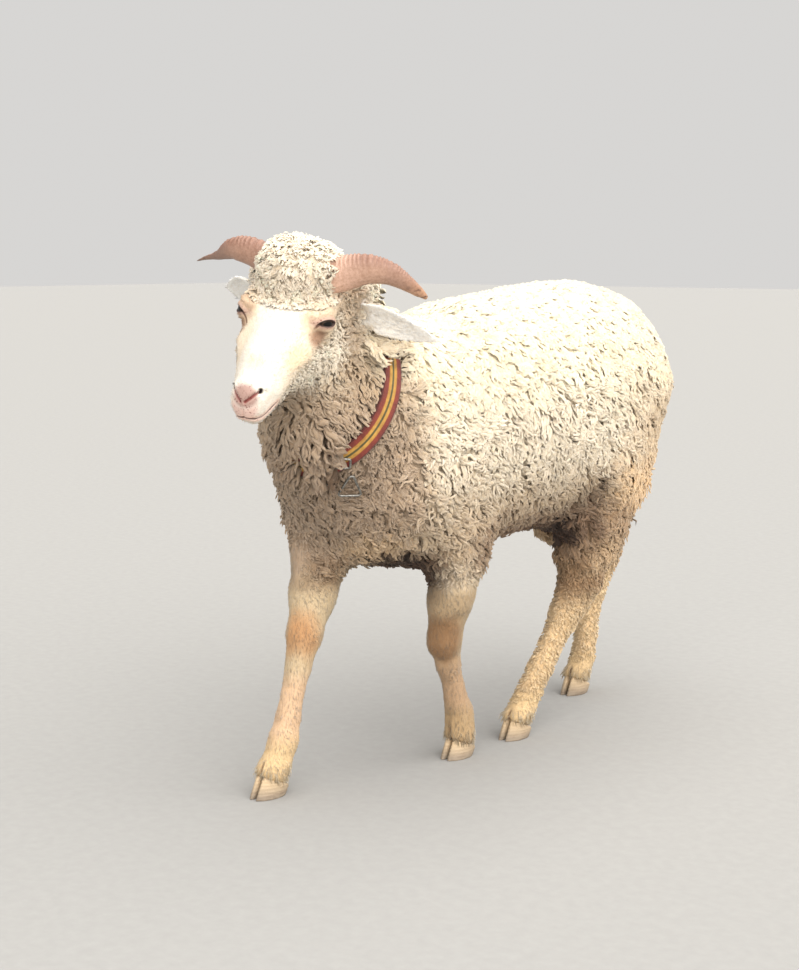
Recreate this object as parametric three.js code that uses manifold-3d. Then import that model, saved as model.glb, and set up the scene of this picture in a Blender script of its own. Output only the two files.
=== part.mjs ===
// A young horned sheep, life size, in mid-walk: a still display model.
//
// The animal is one smooth body described by a distance field, in millimetres. The field is
// turned into facets and parted by thin cuts into head, neck, trunk, tail and legs. Horns,
// ears, eyes, claws and the collar are solids of their own that meet it.
// Design frame: the sheep faces -Y, its left side is +X, up is +Z and the floor is Z = 0.

import * as THREE from 'three';
import Module from 'manifold-3d';
import { mergeVertices } from 'three/addons/utils/BufferGeometryUtils.js';

const wasm = await Module();
wasm.setup();

// ---------------------------------------------------------------- driving dimensions

const GAP = 0.3; // clearance between neighbouring solids
const BARREL_HALF_WIDTH = 148;
const LEG_CUT_HEIGHT = 288; // the legs are parted from the trunk here
const EYE = { at: [50, -3, 0], radius: 15 };
const HORN = {
  root: [63, 40, 54], reach: 101, sweep: 35, tall: 25, deep: 18,
  stations: [-0.2, 0, 0.3, 0.56, 0.82, 1], // along the reach, where each rise below is given
  left: { slim: 1, tip: 0.28, rises: [-7, 0, 9, 5, -13, -30] },
  right: { slim: 0.86, tip: 0.08, rises: [0, 8, 7, -9, -21, -32] },
};
const EAR = {
  root: [69, 74, -8], length: 126, halfWidth: 25, thickness: 4, sag: 7,
  left: { along: [0.92, 0.27, -0.28], facing: [0, -0.97, -0.2] },
  right: { along: [-0.74, 0.64, -0.2], facing: [-0.3, -0.9, -0.2] },
};
const COLLAR = {
  centre: [12, 84, 575], facing: [0.24, -0.88, 0.4], width: 25, thickness: 3, clear: 1, stations: 32,
  gather: 13, // how much further forward the strap lies under the throat
};
const WIRE = { radius: 1.6, sides: 6, clear: 6.5 }; // clear: the wire's middle above the fleece

// The rings of the collar, each at a place on the chest given across and up.
const TRIANGLE_RING = { half: 15, drop: 32, corner: 4, at: [66, 451] };
const ROUND_RING = { radius: 13, points: 16, at: [42, 450] };
const BUCKLE = { half: 9, drop: 7, corner: 3, at: [66, 469] };
const CLAW = { length: 50, width: 20, cleft: 4, toeHeight: 34, heelHeight: 18 };

// The joints of each leg from the top down. The right fore and left hind feet lead.
const FORELEGS = {
  right: {
    shoulder: [-70, 142, 430], elbow: [-74, 150, 330], knee: [-46, 82, 212],
    fetlock: [-43, 36, 74], foot: [-42, 0, 0],
  },
  left: {
    shoulder: [80, 180, 430], elbow: [78, 272, 330], knee: [48, 274, 186],
    fetlock: [39, 320, 68], foot: [37, 314, 0],
  },
};
const HINDLEGS = {
  left: {
    hip: [82, 676, 540], stifle: [96, 575, 410], hock: [66, 592, 232],
    fetlock: [44, 490, 70], foot: [40, 450, 0],
  },
  right: {
    hip: [-82, 690, 540], stifle: [-92, 672, 390], hock: [-62, 822, 230],
    fetlock: [-48, 764, 62], foot: [-46, 732, 0],
  },
};

// Where the head is held, between the eyes: turned to its left, dipped and tilted, in degrees.
const HEAD_AT = [28, -22, 661];
const HEAD_TURN = { left: 20, down: 18, tilt: 9 };

// The tail block, which parts the tail from the rump, and the usual facet size of each part.
const TAIL_BLOCK = { size: [110, 200, 290], at: [0, 917, 495], lean: -0.06 };
const FACET = { head: 14, neck: 31, trunk: 38.6, tail: 22, leg: 18 };

const steps = (count) => Array.from({ length: count }, (_, i) => i);

// ---------------------------------------------------------------- distance fields

const smoothMin = (a, b, k) => {
  const h = Math.max(k - Math.abs(a - b), 0) / k;
  return Math.min(a, b) - (h * h * k) / 4;
};

const blend = (k, ...fields) => (x, y, z) =>
  fields.reduce((d, field) => smoothMin(d, field(x, y, z), k), 1e4);

const ball = ([cx, cy, cz], [rx, ry, rz]) => {
  const least = Math.min(rx, ry, rz);
  return (x, y, z) =>
    (Math.hypot((x - cx) / rx, (y - cy) / ry, (z - cz) / rz) - 1) * least;
};

// One tapered length of body, oval across. An end is [point, half-width, half-depth].
function taper([a, wideA, deepA], [b, wideB, deepB]) {
  const start = new THREE.Vector3(...a);
  const run = new THREE.Vector3(...b).sub(start);
  const along = run.clone().normalize();
  const side = new THREE.Vector3(1, 0, 0).addScaledVector(along, -along.x).normalize();
  const front = new THREE.Vector3().crossVectors(along, side);
  const span = run.lengthSq();
  const q = new THREE.Vector3();
  return (x, y, z) => {
    q.set(x, y, z).sub(start);
    const t = THREE.MathUtils.clamp(q.dot(run) / span, 0, 1);
    q.addScaledVector(run, -t);
    const wide = THREE.MathUtils.lerp(wideA, wideB, t);
    const deep = THREE.MathUtils.lerp(deepA, deepB, t);
    const least = Math.min(wide, deep);
    return (Math.hypot(q.dot(side) / wide, q.dot(front) / deep, q.dot(along) / least) - 1) * least;
  };
}

const chain = (k, ...stations) =>
  blend(k, ...stations.slice(1).map((station, i) => taper(stations[i], station)));

const bothSides = (make) => [make(1), make(-1)];

// ---------------------------------------------------------------- the body

const headTurn = new THREE.Euler(
  THREE.MathUtils.degToRad(HEAD_TURN.down),
  THREE.MathUtils.degToRad(HEAD_TURN.tilt),
  THREE.MathUtils.degToRad(HEAD_TURN.left),
  'ZXY',
);
const headFrame = new THREE.Matrix4().makeRotationFromEuler(headTurn).setPosition(...HEAD_AT);
const intoHead = headFrame.clone().invert();
const fromHead = (x, y, z) => new THREE.Vector3(x, y, z).applyMatrix4(headFrame).toArray();

// In the head's own frame the origin lies midway between the eyes and the nose is towards -Y.
function headField() {
  const braincase = ball([0, 44, 14], [60, 60, 56]);
  const cap = ball([0, 34, 52], [56, 48, 46]);
  const crown = ball([30, 38, 62], [30, 34, 26]);
  const orbits = bothSides((s) => ball([s * 40, 4, 0], [22, 26, 24]));
  const face = chain(14, [[0, -4, -16], 42, 40], [[0, -62, -42], 30, 34], [[0, -110, -67], 22, 28]);
  const muzzle = ball([0, -113, -72], [23, 26, 29]);
  const chin = ball([0, -104, -92], [17, 18, 12]);
  const jaws = bothSides((s) => chain(8, [[s * 30, 34, -62], 22, 26], [[s * 11, -90, -86], 13, 13]));
  const jowls = bothSides((s) =>
    chain(10, [[s * 38, 44, -40], 25, 40], [[s * 36, -28, -42], 20, 27], [[s * 19, -86, -66], 13, 19]),
  );
  const earRoots = bothSides((s) => ball([s * 66, 92, 14], [25, 28, 30]));
  const sides = [...orbits, ...jaws, ...jowls, ...earRoots];
  return blend(12, braincase, cap, crown, face, muzzle, chin, ...sides);
}

function placed(field, inverse) {
  const p = new THREE.Vector3();
  return (x, y, z) => {
    p.set(x, y, z).applyMatrix4(inverse);
    return field(p.x, p.y, p.z);
  };
}

const neck = chain(
  30,
  [[0, 205, 480], 86, 112],
  [[9, 103, 535], 82, 101],
  [fromHead(0, 64, -24), 60, 78],
);

// A station of the barrel: its place along the body, the top and bottom of the fleece, and
// how much narrower it is there, each side, than at its widest.
const ribs = (y, top, bottom, narrower) =>
  [[0, y, (top + bottom) / 2], BARREL_HALF_WIDTH - narrower, (top - bottom) / 2];
const barrel = chain(
  30,
  ribs(146, 560, 302, 66),
  ribs(230, 640, 294, 28),
  ribs(360, 668, 316, 6),
  ribs(490, 682, 324, 0),
  ribs(610, 692, 330, 4),
  ribs(705, 690, 366, 20),
);

// Wool that fills the front of the chest on the right, ahead of the leading leg.
const breast = ball([-38, 98, 448], [42, 46, 40]);

const tail = chain(
  12,
  [[0, 803, 600], 32, 28],
  [[0, 838, 530], 28, 24],
  [[0, 834, 440], 22, 19],
  [[0, 818, 372], 13, 12],
);

const dewclaws = ([x, y, z]) => bothSides((s) => ball([x + s * 10, y + 14, z - 8], [7, 7, 9]));

const between = (a, b, t) => a.map((value, i) => THREE.MathUtils.lerp(value, b[i], t));

// A cannon bone's length from the knee or hock to the fetlock, and the pastern below it.
function shank(joint, fetlock, foot, wide, deep) {
  const upper = between(joint, fetlock, 0.3);
  const lower = between(joint, fetlock, 0.8);
  const pastern = [foot[0], foot[1] + 10, 28];
  return [
    chain(8, [joint, wide + 4, deep + 6], [upper, wide, deep], [lower, wide - 2, deep - 2]),
    chain(8, [lower, wide - 2, deep - 2], [fetlock, 20, 22], [pastern, 21, 23]),
    ...dewclaws(fetlock),
  ];
}

function foreleg({ shoulder, elbow, knee, fetlock, foot }) {
  const forearm = between(elbow, knee, 0.55);
  return blend(
    10,
    chain(22, [shoulder, 52, 76], [elbow, 40, 52], [forearm, 28, 33], [knee, 25, 27]),
    ...shank(knee, fetlock, foot, 18, 20),
  );
}

// The thigh has a rear edge from the hip to the hock and a front edge by way of the stifle.
function hindleg({ hip, stifle, hock, fetlock, foot }) {
  const lean = 0.18 * (stifle[1] - hip[1]);
  const haunch = [hip[0], hip[1] + 16 + lean, hip[2] - 100];
  const gaskin = between(stifle, hock, 0.5);
  return blend(
    10,
    chain(30, [hip, 60, 96], [haunch, 54, 84], [gaskin, 42, 60], [hock, 30, 44]),
    chain(30, [hip, 58, 90], [stifle, 48, 66], [between(stifle, hock, 0.7), 38, 56]),
    chain(20, [hock, 30, 42], [between(hock, fetlock, 0.35), 23, 28]),
    ...shank(hock, fetlock, foot, 21, 25),
  );
}

const body = blend(
  24,
  blend(34, blend(60, barrel, neck, breast), placed(headField(), intoHead)),
  tail,
  foreleg(FORELEGS.right),
  foreleg(FORELEGS.left),
  hindleg(HINDLEGS.left),
  hindleg(HINDLEGS.right),
);

// ---------------------------------------------------------------- from field to facets

// The corners of a grid cell, numbered by their bits along x, y and z, and the edges between them.
const CORNERS = steps(8).map((n) => [n & 1, (n >> 1) & 1, (n >> 2) & 1]);
const EDGES = CORNERS.flatMap((_, a) =>
  [1, 2, 4].filter((bit) => !(a & bit)).map((bit) => [a, a | bit]),
);

// Samples a field on a grid; the outermost samples count as outside, so the result is closed.
function sample(field, low, counts, cell) {
  const values = new Float32Array(counts[0] * counts[1] * counts[2]);
  const index = (i, j, k) => i + counts[0] * (j + counts[1] * k);
  for (let k = 0; k < counts[2]; k += 1) {
    for (let j = 0; j < counts[1]; j += 1) {
      for (let i = 0; i < counts[0]; i += 1) {
        const edge = [i, j, k].some((n, axis) => n === 0 || n === counts[axis] - 1);
        const d = field(low.x + i * cell, low.y + j * cell, low.z + k * cell);
        values[index(i, j, k)] = edge ? Math.max(d, cell / 4) : d;
      }
    }
  }
  return { values, index };
}

// Slides a vertex onto the surface along the field's slope, keeping it well inside its cell.
function settle(field, p, corner, cell) {
  const margin = cell * 0.06;
  const lowest = corner.clone().addScalar(margin);
  const highest = corner.clone().addScalar(cell - margin);
  const step = 0.5;
  const rounds = 3;
  const leastSlope = 0.05; // keeps the slide short where the field is nearly level
  for (let round = 0; round < rounds; round += 1) {
    const d = field(p.x, p.y, p.z);
    const slope = new THREE.Vector3(
      field(p.x + step, p.y, p.z) - d,
      field(p.x, p.y + step, p.z) - d,
      field(p.x, p.y, p.z + step) - d,
    ).divideScalar(step);
    p.addScaledVector(slope, -d / Math.max(slope.lengthSq(), leastSlope)).clamp(lowest, highest);
  }
}

// Facets of the surface where the field is zero: one vertex in each grid cell that it crosses
// and one four-sided patch round each grid edge that it crosses.
function facets(field, region, cell) {
  const low = region.min.clone().subScalar(cell * 1.5);
  const counts = region.getSize(new THREE.Vector3()).toArray().map((s) => Math.ceil(s / cell) + 4);
  const { values, index } = sample(field, low, counts, cell);
  const vertexOf = new Int32Array(values.length).fill(-1);
  const points = [];
  const triangles = [];

  const cornerValues = (i, j, k) => CORNERS.map(([a, b, c]) => values[index(i + a, j + b, k + c)]);
  const addVertex = (i, j, k) => {
    const corner = cornerValues(i, j, k);
    const crossings = EDGES.filter(([a, b]) => corner[a] < 0 !== corner[b] < 0);
    if (crossings.length === 0) return;
    const mean = new THREE.Vector3();
    for (const [a, b] of crossings) {
      const t = corner[a] / (corner[a] - corner[b]);
      CORNERS[a].forEach((value, axis) => {
        const place = THREE.MathUtils.lerp(value, CORNERS[b][axis], t) / crossings.length;
        mean.setComponent(axis, mean.getComponent(axis) + place);
      });
    }
    const lowest = new THREE.Vector3(i, j, k).multiplyScalar(cell).add(low);
    const p = mean.multiplyScalar(cell).add(lowest);
    settle(field, p, lowest, cell);
    vertexOf[index(i, j, k)] = points.length;
    points.push(p);
  };
  const addPatch = (i, j, k, axis) => {
    const here = [i, j, k];
    const next = here.map((n, a) => (a === axis ? n + 1 : n));
    const inside = values[index(...here)] < 0;
    if (inside === values[index(...next)] < 0) return;
    const [u, v] = [(axis + 1) % 3, (axis + 2) % 3];
    const ring = [[0, 0], [1, 0], [1, 1], [0, 1]].map(([du, dv]) => {
      const at = [...here];
      at[u] -= du;
      at[v] -= dv;
      return vertexOf[index(...at)];
    });
    const [a, b, c, d] = inside ? ring : ring.reverse();
    const short = points[a].distanceTo(points[c]) < points[b].distanceTo(points[d]);
    triangles.push(...(short ? [a, b, c, a, c, d] : [a, b, d, b, c, d]));
  };

  const eachCell = (visit) => {
    for (let k = 0; k < counts[2] - 1; k += 1) {
      for (let j = 0; j < counts[1] - 1; j += 1) {
        for (let i = 0; i < counts[0] - 1; i += 1) visit(i, j, k);
      }
    }
  };
  eachCell(addVertex);
  eachCell((i, j, k) => [0, 1, 2].forEach((axis) => addPatch(i, j, k, axis)));
  return fromPoints(points, triangles);
}

function fromPoints(points, triangles) {
  const geometry = new THREE.BufferGeometry();
  const numbers = points.flatMap((p) => p.toArray());
  geometry.setAttribute('position', new THREE.Float32BufferAttribute(numbers, 3));
  return geometry.setIndex(triangles);
}

// ---------------------------------------------------------------- solids, cuts and joins

// The same shape with its shared vertices merged into one.
function welded(geometry) {
  const bare = geometry.clone();
  bare.deleteAttribute('normal');
  bare.deleteAttribute('uv');
  return mergeVertices(bare, 1e-3);
}

function toSolid(geometry) {
  const merged = welded(geometry);
  const vertProperties = new Float32Array(merged.attributes.position.array);
  const triVerts = new Uint32Array(merged.index.array);
  return new wasm.Manifold(new wasm.Mesh({ numProp: 3, vertProperties, triVerts }));
}

function toGeometry(solid) {
  const mesh = solid.getMesh();
  const geometry = new THREE.BufferGeometry();
  geometry.setAttribute('position', new THREE.Float32BufferAttribute(mesh.vertProperties, 3));
  geometry.setIndex([...mesh.triVerts]);
  geometry.computeVertexNormals();
  return geometry;
}

const UP = new THREE.Vector3(0, 0, 1);

// A cut is a plane through `point`, facing `up`.
const cutAt = (point, up) => ({
  point: new THREE.Vector3(...point),
  up: new THREE.Vector3(...up).normalize(),
});

// The side of a solid that a cut faces, half a gap clear of the plane.
function above(solid, { point, up }) {
  const size = 2000; // larger than the sheep
  const block = new THREE.BoxGeometry(size, size, size).translate(0, 0, (size + GAP) / 2);
  block.applyQuaternion(new THREE.Quaternion().setFromUnitVectors(UP, up));
  return solid.intersect(toSolid(block.translate(...point.toArray())));
}

const below = (solid, { point, up }) => above(solid, { point, up: up.clone().negate() });

const region = (low, high) => new THREE.Box3(new THREE.Vector3(...low), new THREE.Vector3(...high));

const flesh = (within, cell) => toSolid(facets(body, within, cell));

// A closed skin through rings of points, each ring with the same count, with flat ends. Where
// `closed` is true it joins its last ring to its first instead and has no ends.
function loft(rings, closed = false) {
  const count = rings[0].length;
  const points = rings.flat();
  const triangles = [];
  for (let r = 0; r < rings.length - (closed ? 0 : 1); r += 1) {
    for (let i = 0; i < count; i += 1) {
      const next = (i + 1) % count;
      const [a, b] = [r * count + i, r * count + next];
      const far = ((r + 1) % rings.length) * count;
      triangles.push(a, b, far + next, a, far + next, far + i);
    }
  }
  const last = (rings.length - 1) * count;
  for (let i = 1; i < count - 1 && !closed; i += 1) {
    triangles.push(0, i + 1, i, last, last + i, last + i + 1);
  }
  return fromPoints(points, triangles);
}

// ---------------------------------------------------------------- horns, ears, eyes, claws

// A horn curves outwards, sweeps back and droops. `side` is 1 on the left; `grow` fattens it all
// over, for cutting its socket. The right horn is the lower, slimmer and sharper of the two.
function horn(side, grow = 0) {
  const { slim, tip, rises } = side > 0 ? HORN.left : HORN.right;
  const [x, y, z] = HORN.root;
  const route = new THREE.CatmullRomCurve3(
    HORN.stations.map((out, n) => new THREE.Vector3(
      side * (x + out * HORN.reach),
      y + out * Math.abs(out) * HORN.sweep,
      z + rises[n],
    )),
  );
  const [lengths, sides] = [10, 12];
  const blunt = 0.55; // the last ring, which rounds off the tip
  const rings = steps(lengths + 1).map((n) => {
    const t = n / lengths;
    const size = slim * THREE.MathUtils.lerp(1, tip, t ** 1.35) * (n === lengths ? blunt : 1);
    const along = route.getTangentAt(t);
    const deepWay = new THREE.Vector3(0, 1, 0).addScaledVector(along, -along.y).normalize();
    const tallWay = new THREE.Vector3().crossVectors(deepWay, along).multiplyScalar(side);
    return steps(sides).map((i) => {
      const turn = (side * i * 2 * Math.PI) / sides;
      return route.getPointAt(t)
        .addScaledVector(tallWay, (HORN.tall * size + grow) * Math.cos(turn))
        .addScaledVector(deepWay, (HORN.deep * size + grow) * Math.sin(turn));
    });
  });
  return loft(rings).applyMatrix4(headFrame);
}

// An ear is a leaf with a cupped section that opens forwards and a little down.
function ear(side, grow = 0) {
  const { along: way, facing: face } = side > 0 ? EAR.left : EAR.right;
  const root = new THREE.Vector3(side * EAR.root[0], EAR.root[1], EAR.root[2]);
  const along = new THREE.Vector3(...way).normalize();
  const facing = new THREE.Vector3(...face).projectOnPlane(along).normalize();
  const across = new THREE.Vector3().crossVectors(along, facing);
  const [lengths, sides] = [8, 10];
  const [stalk, point, buried] = [0.16, 0.06, 0.1]; // narrow root, narrow tip, length inside the head
  const rings = steps(lengths + 1).map((n) => {
    const t = n / lengths;
    const leaf = Math.sin(Math.PI * (stalk + (1 - stalk) * t) ** 0.85) ** 0.8;
    const wide = EAR.halfWidth * THREE.MathUtils.lerp(point, 1, leaf) + grow;
    const thick = THREE.MathUtils.lerp(EAR.thickness + 3, EAR.thickness / 2, t) + grow;
    const hollow = wide * THREE.MathUtils.lerp(0.4, 0.16, t);
    return steps(sides).map((i) => {
      const turn = (-i * 2 * Math.PI) / sides;
      const cup = hollow * Math.cos(turn) ** 2;
      return root.clone()
        .addScaledVector(along, (t - buried) * EAR.length)
        .addScaledVector(across, wide * Math.cos(turn))
        .addScaledVector(facing, thick * Math.sin(turn) + cup)
        .addScaledVector(UP, -EAR.sag * t * t);
    });
  });
  return loft(rings).applyMatrix4(headFrame);
}

const eyeball = (side, grow = 0) =>
  new THREE.IcosahedronGeometry(EYE.radius + grow, 2)
    .translate(side * EYE.at[0], EYE.at[1], EYE.at[2])
    .applyMatrix4(headFrame);

// The coronet: the sloping plane where the hair of a leg meets its claws.
function coronet([x, y]) {
  const rise = CLAW.toeHeight - CLAW.heelHeight;
  return cutAt([x, y, (CLAW.toeHeight + CLAW.heelHeight) / 2], [0, rise, CLAW.length * 0.8]);
}

// One claw: flat below, straight along the cleft, rounded outside and leaning back as it rises.
function claw([x, y], side) {
  const half = CLAW.length / 2;
  const outline = new THREE.Shape();
  outline.moveTo(CLAW.cleft / 2, half);
  outline.lineTo(CLAW.cleft / 2, -half * 0.75);
  outline.quadraticCurveTo(CLAW.cleft / 2 + 1, -half, CLAW.cleft / 2 + 5, -half);
  outline.bezierCurveTo(CLAW.width, -half * 0.6, CLAW.width + 4, half * 0.4, CLAW.width * 0.7, half);
  const depth = CLAW.toeHeight + 8; // tall enough to reach past the coronet
  const block = new THREE.ExtrudeGeometry(outline, { depth, bevelEnabled: false, curveSegments: 5 });
  const lean = new THREE.Matrix4().makeShear(0, 0, 0, 0, 0, 0.5);
  const placed = welded(block.applyMatrix4(lean).scale(side, 1, 1).translate(x, y, 0));
  return side < 0 ? placed.setIndex([...placed.index.array].reverse()) : placed;
}

// ---------------------------------------------------------------- collar

// How far from `start` the fleece ends in the direction `way`.
function fleeceAt(start, way, reach = 240) {
  const depth = (r) => body(start.x + way.x * r, start.y + way.y * r, start.z + way.z * r);
  const stride = 4;
  const tolerance = 0.01;
  let inside = 0;
  while (inside < reach && depth(inside + stride) < 0) inside += stride;
  let outside = inside + stride;
  while (outside - inside > tolerance) {
    const half = (inside + outside) / 2;
    if (depth(half) < 0) inside = half;
    else outside = half;
  }
  return inside;
}

// The strap: a closed band that lies on the neck, its section a rectangle at each station.
function strap(grow = 0) {
  const facing = new THREE.Vector3(...COLLAR.facing).normalize();
  const across = new THREE.Vector3(1, 0, 0).projectOnPlane(facing).normalize();
  const upwards = new THREE.Vector3().crossVectors(facing, across);
  const corners = [[1, 0], [1, 1], [-1, 1], [-1, 0]];
  const rings = steps(COLLAR.stations).map((n) => {
    const turn = (n * 2 * Math.PI) / COLLAR.stations;
    const [right, high] = [Math.cos(turn), Math.sin(turn)];
    const way = across.clone().multiplyScalar(right).addScaledVector(upwards, high);
    const forward = COLLAR.gather * Math.max(0, -high) ** 2;
    return corners.map(([edge, outer]) => {
      const start = new THREE.Vector3(...COLLAR.centre)
        .addScaledVector(facing, forward + edge * (COLLAR.width / 2 + grow));
      const r = fleeceAt(start, way) + COLLAR.clear + (outer ? COLLAR.thickness + grow : -grow);
      return start.addScaledVector(way, r);
    });
  });
  return loft(rings, true);
}

// A frame lying on the front of the chest: x to the side, y down the fleece and z outwards.
function chestFrame([x, z]) {
  const deepInside = 130;
  const forward = new THREE.Vector3(0, -1, 0);
  const origin = new THREE.Vector3(x, deepInside, z);
  origin.addScaledVector(forward, fleeceAt(origin, forward));
  const step = 6;
  const slope = new THREE.Vector3(
    body(origin.x + step, origin.y, origin.z) - body(origin.x - step, origin.y, origin.z),
    body(origin.x, origin.y + step, origin.z) - body(origin.x, origin.y - step, origin.z),
    body(origin.x, origin.y, origin.z + step) - body(origin.x, origin.y, origin.z - step),
  ).normalize();
  const down = new THREE.Vector3(0, 0, -1).projectOnPlane(slope).normalize();
  const side = new THREE.Vector3().crossVectors(down, slope);
  return new THREE.Matrix4().makeBasis(side, down, slope).setPosition(origin);
}

// A closed loop of wire through the points of a flat outline.
function wireLoop(outline) {
  const rings = outline.map((point, n) => {
    const before = outline[(n + outline.length - 1) % outline.length];
    const after = outline[(n + 1) % outline.length];
    const along = new THREE.Vector2().subVectors(after, before).normalize();
    const out = new THREE.Vector3(along.y, -along.x, 0);
    return steps(WIRE.sides).map((i) => {
      const turn = (i * 2 * Math.PI) / WIRE.sides;
      return new THREE.Vector3(point.x, point.y, 0)
        .addScaledVector(out, WIRE.radius * Math.cos(turn))
        .addScaledVector(UP, WIRE.clear - WIRE.radius * Math.sin(turn));
    });
  });
  return loft(rings, true);
}

// A loop of wire with a point above and a flat side below.
function triangleRing({ half, drop, corner }) {
  const outline = new THREE.Shape();
  outline.absarc(0, corner, corner, Math.PI * 1.15, Math.PI * 1.85);
  outline.absarc(half - corner, drop - corner, corner, -0.15 * Math.PI, 0.5 * Math.PI);
  outline.absarc(corner - half, drop - corner, corner, 0.5 * Math.PI, 1.15 * Math.PI);
  return wireLoop(outline.getPoints(3).slice(0, -1));
}

// A rectangular loop of wire with rounded corners.
function buckle({ half, drop, corner }) {
  const outline = new THREE.Shape();
  for (const [x, y, quarter] of [[1, -1, 3], [1, 1, 0], [-1, 1, 1], [-1, -1, 2]]) {
    const start = (quarter * Math.PI) / 2;
    outline.absarc(x * (half - corner), y * (drop - corner), corner, start, start + Math.PI / 2);
  }
  return wireLoop(outline.getPoints(2).slice(0, -1));
}

function roundRing({ radius, points }) {
  return wireLoop(steps(points).map((n) => {
    const turn = (n * 2 * Math.PI) / points;
    return new THREE.Vector2(Math.cos(turn), Math.sin(turn)).multiplyScalar(radius);
  }));
}

// ---------------------------------------------------------------- the parts

const WOOL = { color: 0xe9dfc8, roughness: 0.95 };
const HAIR = { color: 0xe6dac4, roughness: 0.85 };
const HORN_LOOK = { color: 0xb58a6c, roughness: 0.6 };
const CLAW_LOOK = { color: 0xb09a78, roughness: 0.6 };
const EYE_LOOK = { color: 0x20150f, roughness: 0.1 };
const WEBBING = { color: 0xa9442a, roughness: 0.8 };
const STEEL = { color: 0xb9b4aa, roughness: 0.35, metalness: 1 };

const sheep = new THREE.Group();

function add(name, geometry, look) {
  const mesh = new THREE.Mesh(geometry, new THREE.MeshStandardMaterial({ metalness: 0, ...look }));
  mesh.name = name;
  sheep.add(mesh);
}

const headCut = cutAt(fromHead(0, 72, -24), [0.16, -0.66, 0.74]);
const neckCut = cutAt([0, 128, 540], [0, -0.66, 0.75]);
const legCut = cutAt([0, 0, LEG_CUT_HEIGHT], [0, 0, 1]);

function tailBlock(grow) {
  const block = new THREE.BoxGeometry(...TAIL_BLOCK.size.map((side) => side + grow));
  return toSolid(block.rotateX(TAIL_BLOCK.lean).translate(...TAIL_BLOCK.at));
}

const headFlesh = flesh(region([-100, -190, 520], [160, 130, 790]), FACET.head);
const neckFlesh = flesh(region([-150, -60, 380], [150, 290, 740]), FACET.neck);
const trunkFlesh = flesh(region([-180, -60, 250], [180, 900, 730]), FACET.trunk);
const tailFlesh = flesh(region([-60, 766, 330], [60, 896, 660]), FACET.tail);

const FEATURES = [['horn', horn, HORN_LOOK], ['ear', ear, HAIR], ['eye', eyeball, EYE_LOOK]];
const SIDES = [['left', 1], ['right', -1]];
const sockets = [toSolid(strap(GAP))];
for (const [sideName, side] of SIDES) {
  for (const [name, shape, look] of FEATURES) {
    sockets.push(toSolid(shape(side, GAP)));
    add(`${name}_${sideName}`, shape(side), look);
  }
}
const withSockets = (solid) => sockets.reduce((rest, socket) => rest.subtract(socket), solid);

const trunk = above(below(trunkFlesh, neckCut), legCut).subtract(tailBlock(2 * GAP));
add('head', toGeometry(withSockets(above(headFlesh, headCut))), HAIR);
add('neck', toGeometry(withSockets(above(below(neckFlesh, headCut), neckCut))), WOOL);
add('trunk', toGeometry(withSockets(trunk)), WOOL);
add('tail', toGeometry(tailFlesh.intersect(tailBlock(0))), WOOL);

const onChest = (loop, at) => loop.applyMatrix4(chestFrame(at));
add('collar_strap', strap(), WEBBING);
add('collar_triangle_ring', onChest(triangleRing(TRIANGLE_RING), TRIANGLE_RING.at), STEEL);
add('collar_round_ring', onChest(roundRing(ROUND_RING), ROUND_RING.at), STEEL);
add('collar_buckle', onChest(buckle(BUCKLE), BUCKLE.at), STEEL);

const LEGS = [
  ['front_left', FORELEGS.left, region([6, 180, 0], [130, 360, 310])],
  ['front_right', FORELEGS.right, region([-130, -40, 0], [-2, 240, 310])],
  ['hind_left', HINDLEGS.left, region([2, 420, 0], [140, 720, 310])],
  ['hind_right', HINDLEGS.right, region([-140, 560, 0], [-2, 880, 310])],
];
for (const [name, { foot }, within] of LEGS) {
  const hoofTop = coronet(foot);
  const outward = Math.sign(foot[0]);
  const clawOn = (side) => toGeometry(below(toSolid(claw(foot, side)), hoofTop));
  add(`${name}_leg`, toGeometry(above(below(flesh(within, FACET.leg), legCut), hoofTop)), HAIR);
  add(`${name}_claw_outer`, clawOn(outward), CLAW_LOOK);
  add(`${name}_claw_inner`, clawOn(-outward), CLAW_LOOK);
}

// The finished frame: the origin on the floor under the middle of the whole outline.
const extent = new THREE.Box3().setFromObject(sheep);
const centre = extent.getCenter(new THREE.Vector3());
sheep.position.set(-centre.x, -centre.y, -extent.min.z);

export default sheep;
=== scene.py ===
"""A young horned sheep, life size, standing still in mid-step: hide, eyes, horns, claws, collar and coat."""
import math

import bpy
import numpy as np
from mathutils import Euler, Matrix, Vector, noise
from mathutils.kdtree import KDTree


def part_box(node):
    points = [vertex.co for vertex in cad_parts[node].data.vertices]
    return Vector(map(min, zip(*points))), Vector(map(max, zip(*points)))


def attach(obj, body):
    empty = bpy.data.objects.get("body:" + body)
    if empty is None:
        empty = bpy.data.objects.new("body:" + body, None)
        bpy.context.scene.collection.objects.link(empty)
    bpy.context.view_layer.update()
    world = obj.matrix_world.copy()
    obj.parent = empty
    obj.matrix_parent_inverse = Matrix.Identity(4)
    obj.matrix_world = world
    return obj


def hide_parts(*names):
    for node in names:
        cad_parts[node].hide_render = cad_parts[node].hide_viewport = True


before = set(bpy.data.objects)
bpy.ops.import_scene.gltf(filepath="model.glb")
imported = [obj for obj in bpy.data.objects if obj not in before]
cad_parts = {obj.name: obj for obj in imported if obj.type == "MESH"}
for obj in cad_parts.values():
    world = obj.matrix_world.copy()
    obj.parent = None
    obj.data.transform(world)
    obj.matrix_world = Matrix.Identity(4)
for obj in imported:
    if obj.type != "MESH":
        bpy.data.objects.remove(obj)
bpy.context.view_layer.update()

# ------------------------------------------------------------------ studio
# A floor of pale matt paper in the soft light of a hazy noon: one broad high source, bright on the
# back and the bridge of the nose, with a weak fill from in front for face and chest.

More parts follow.
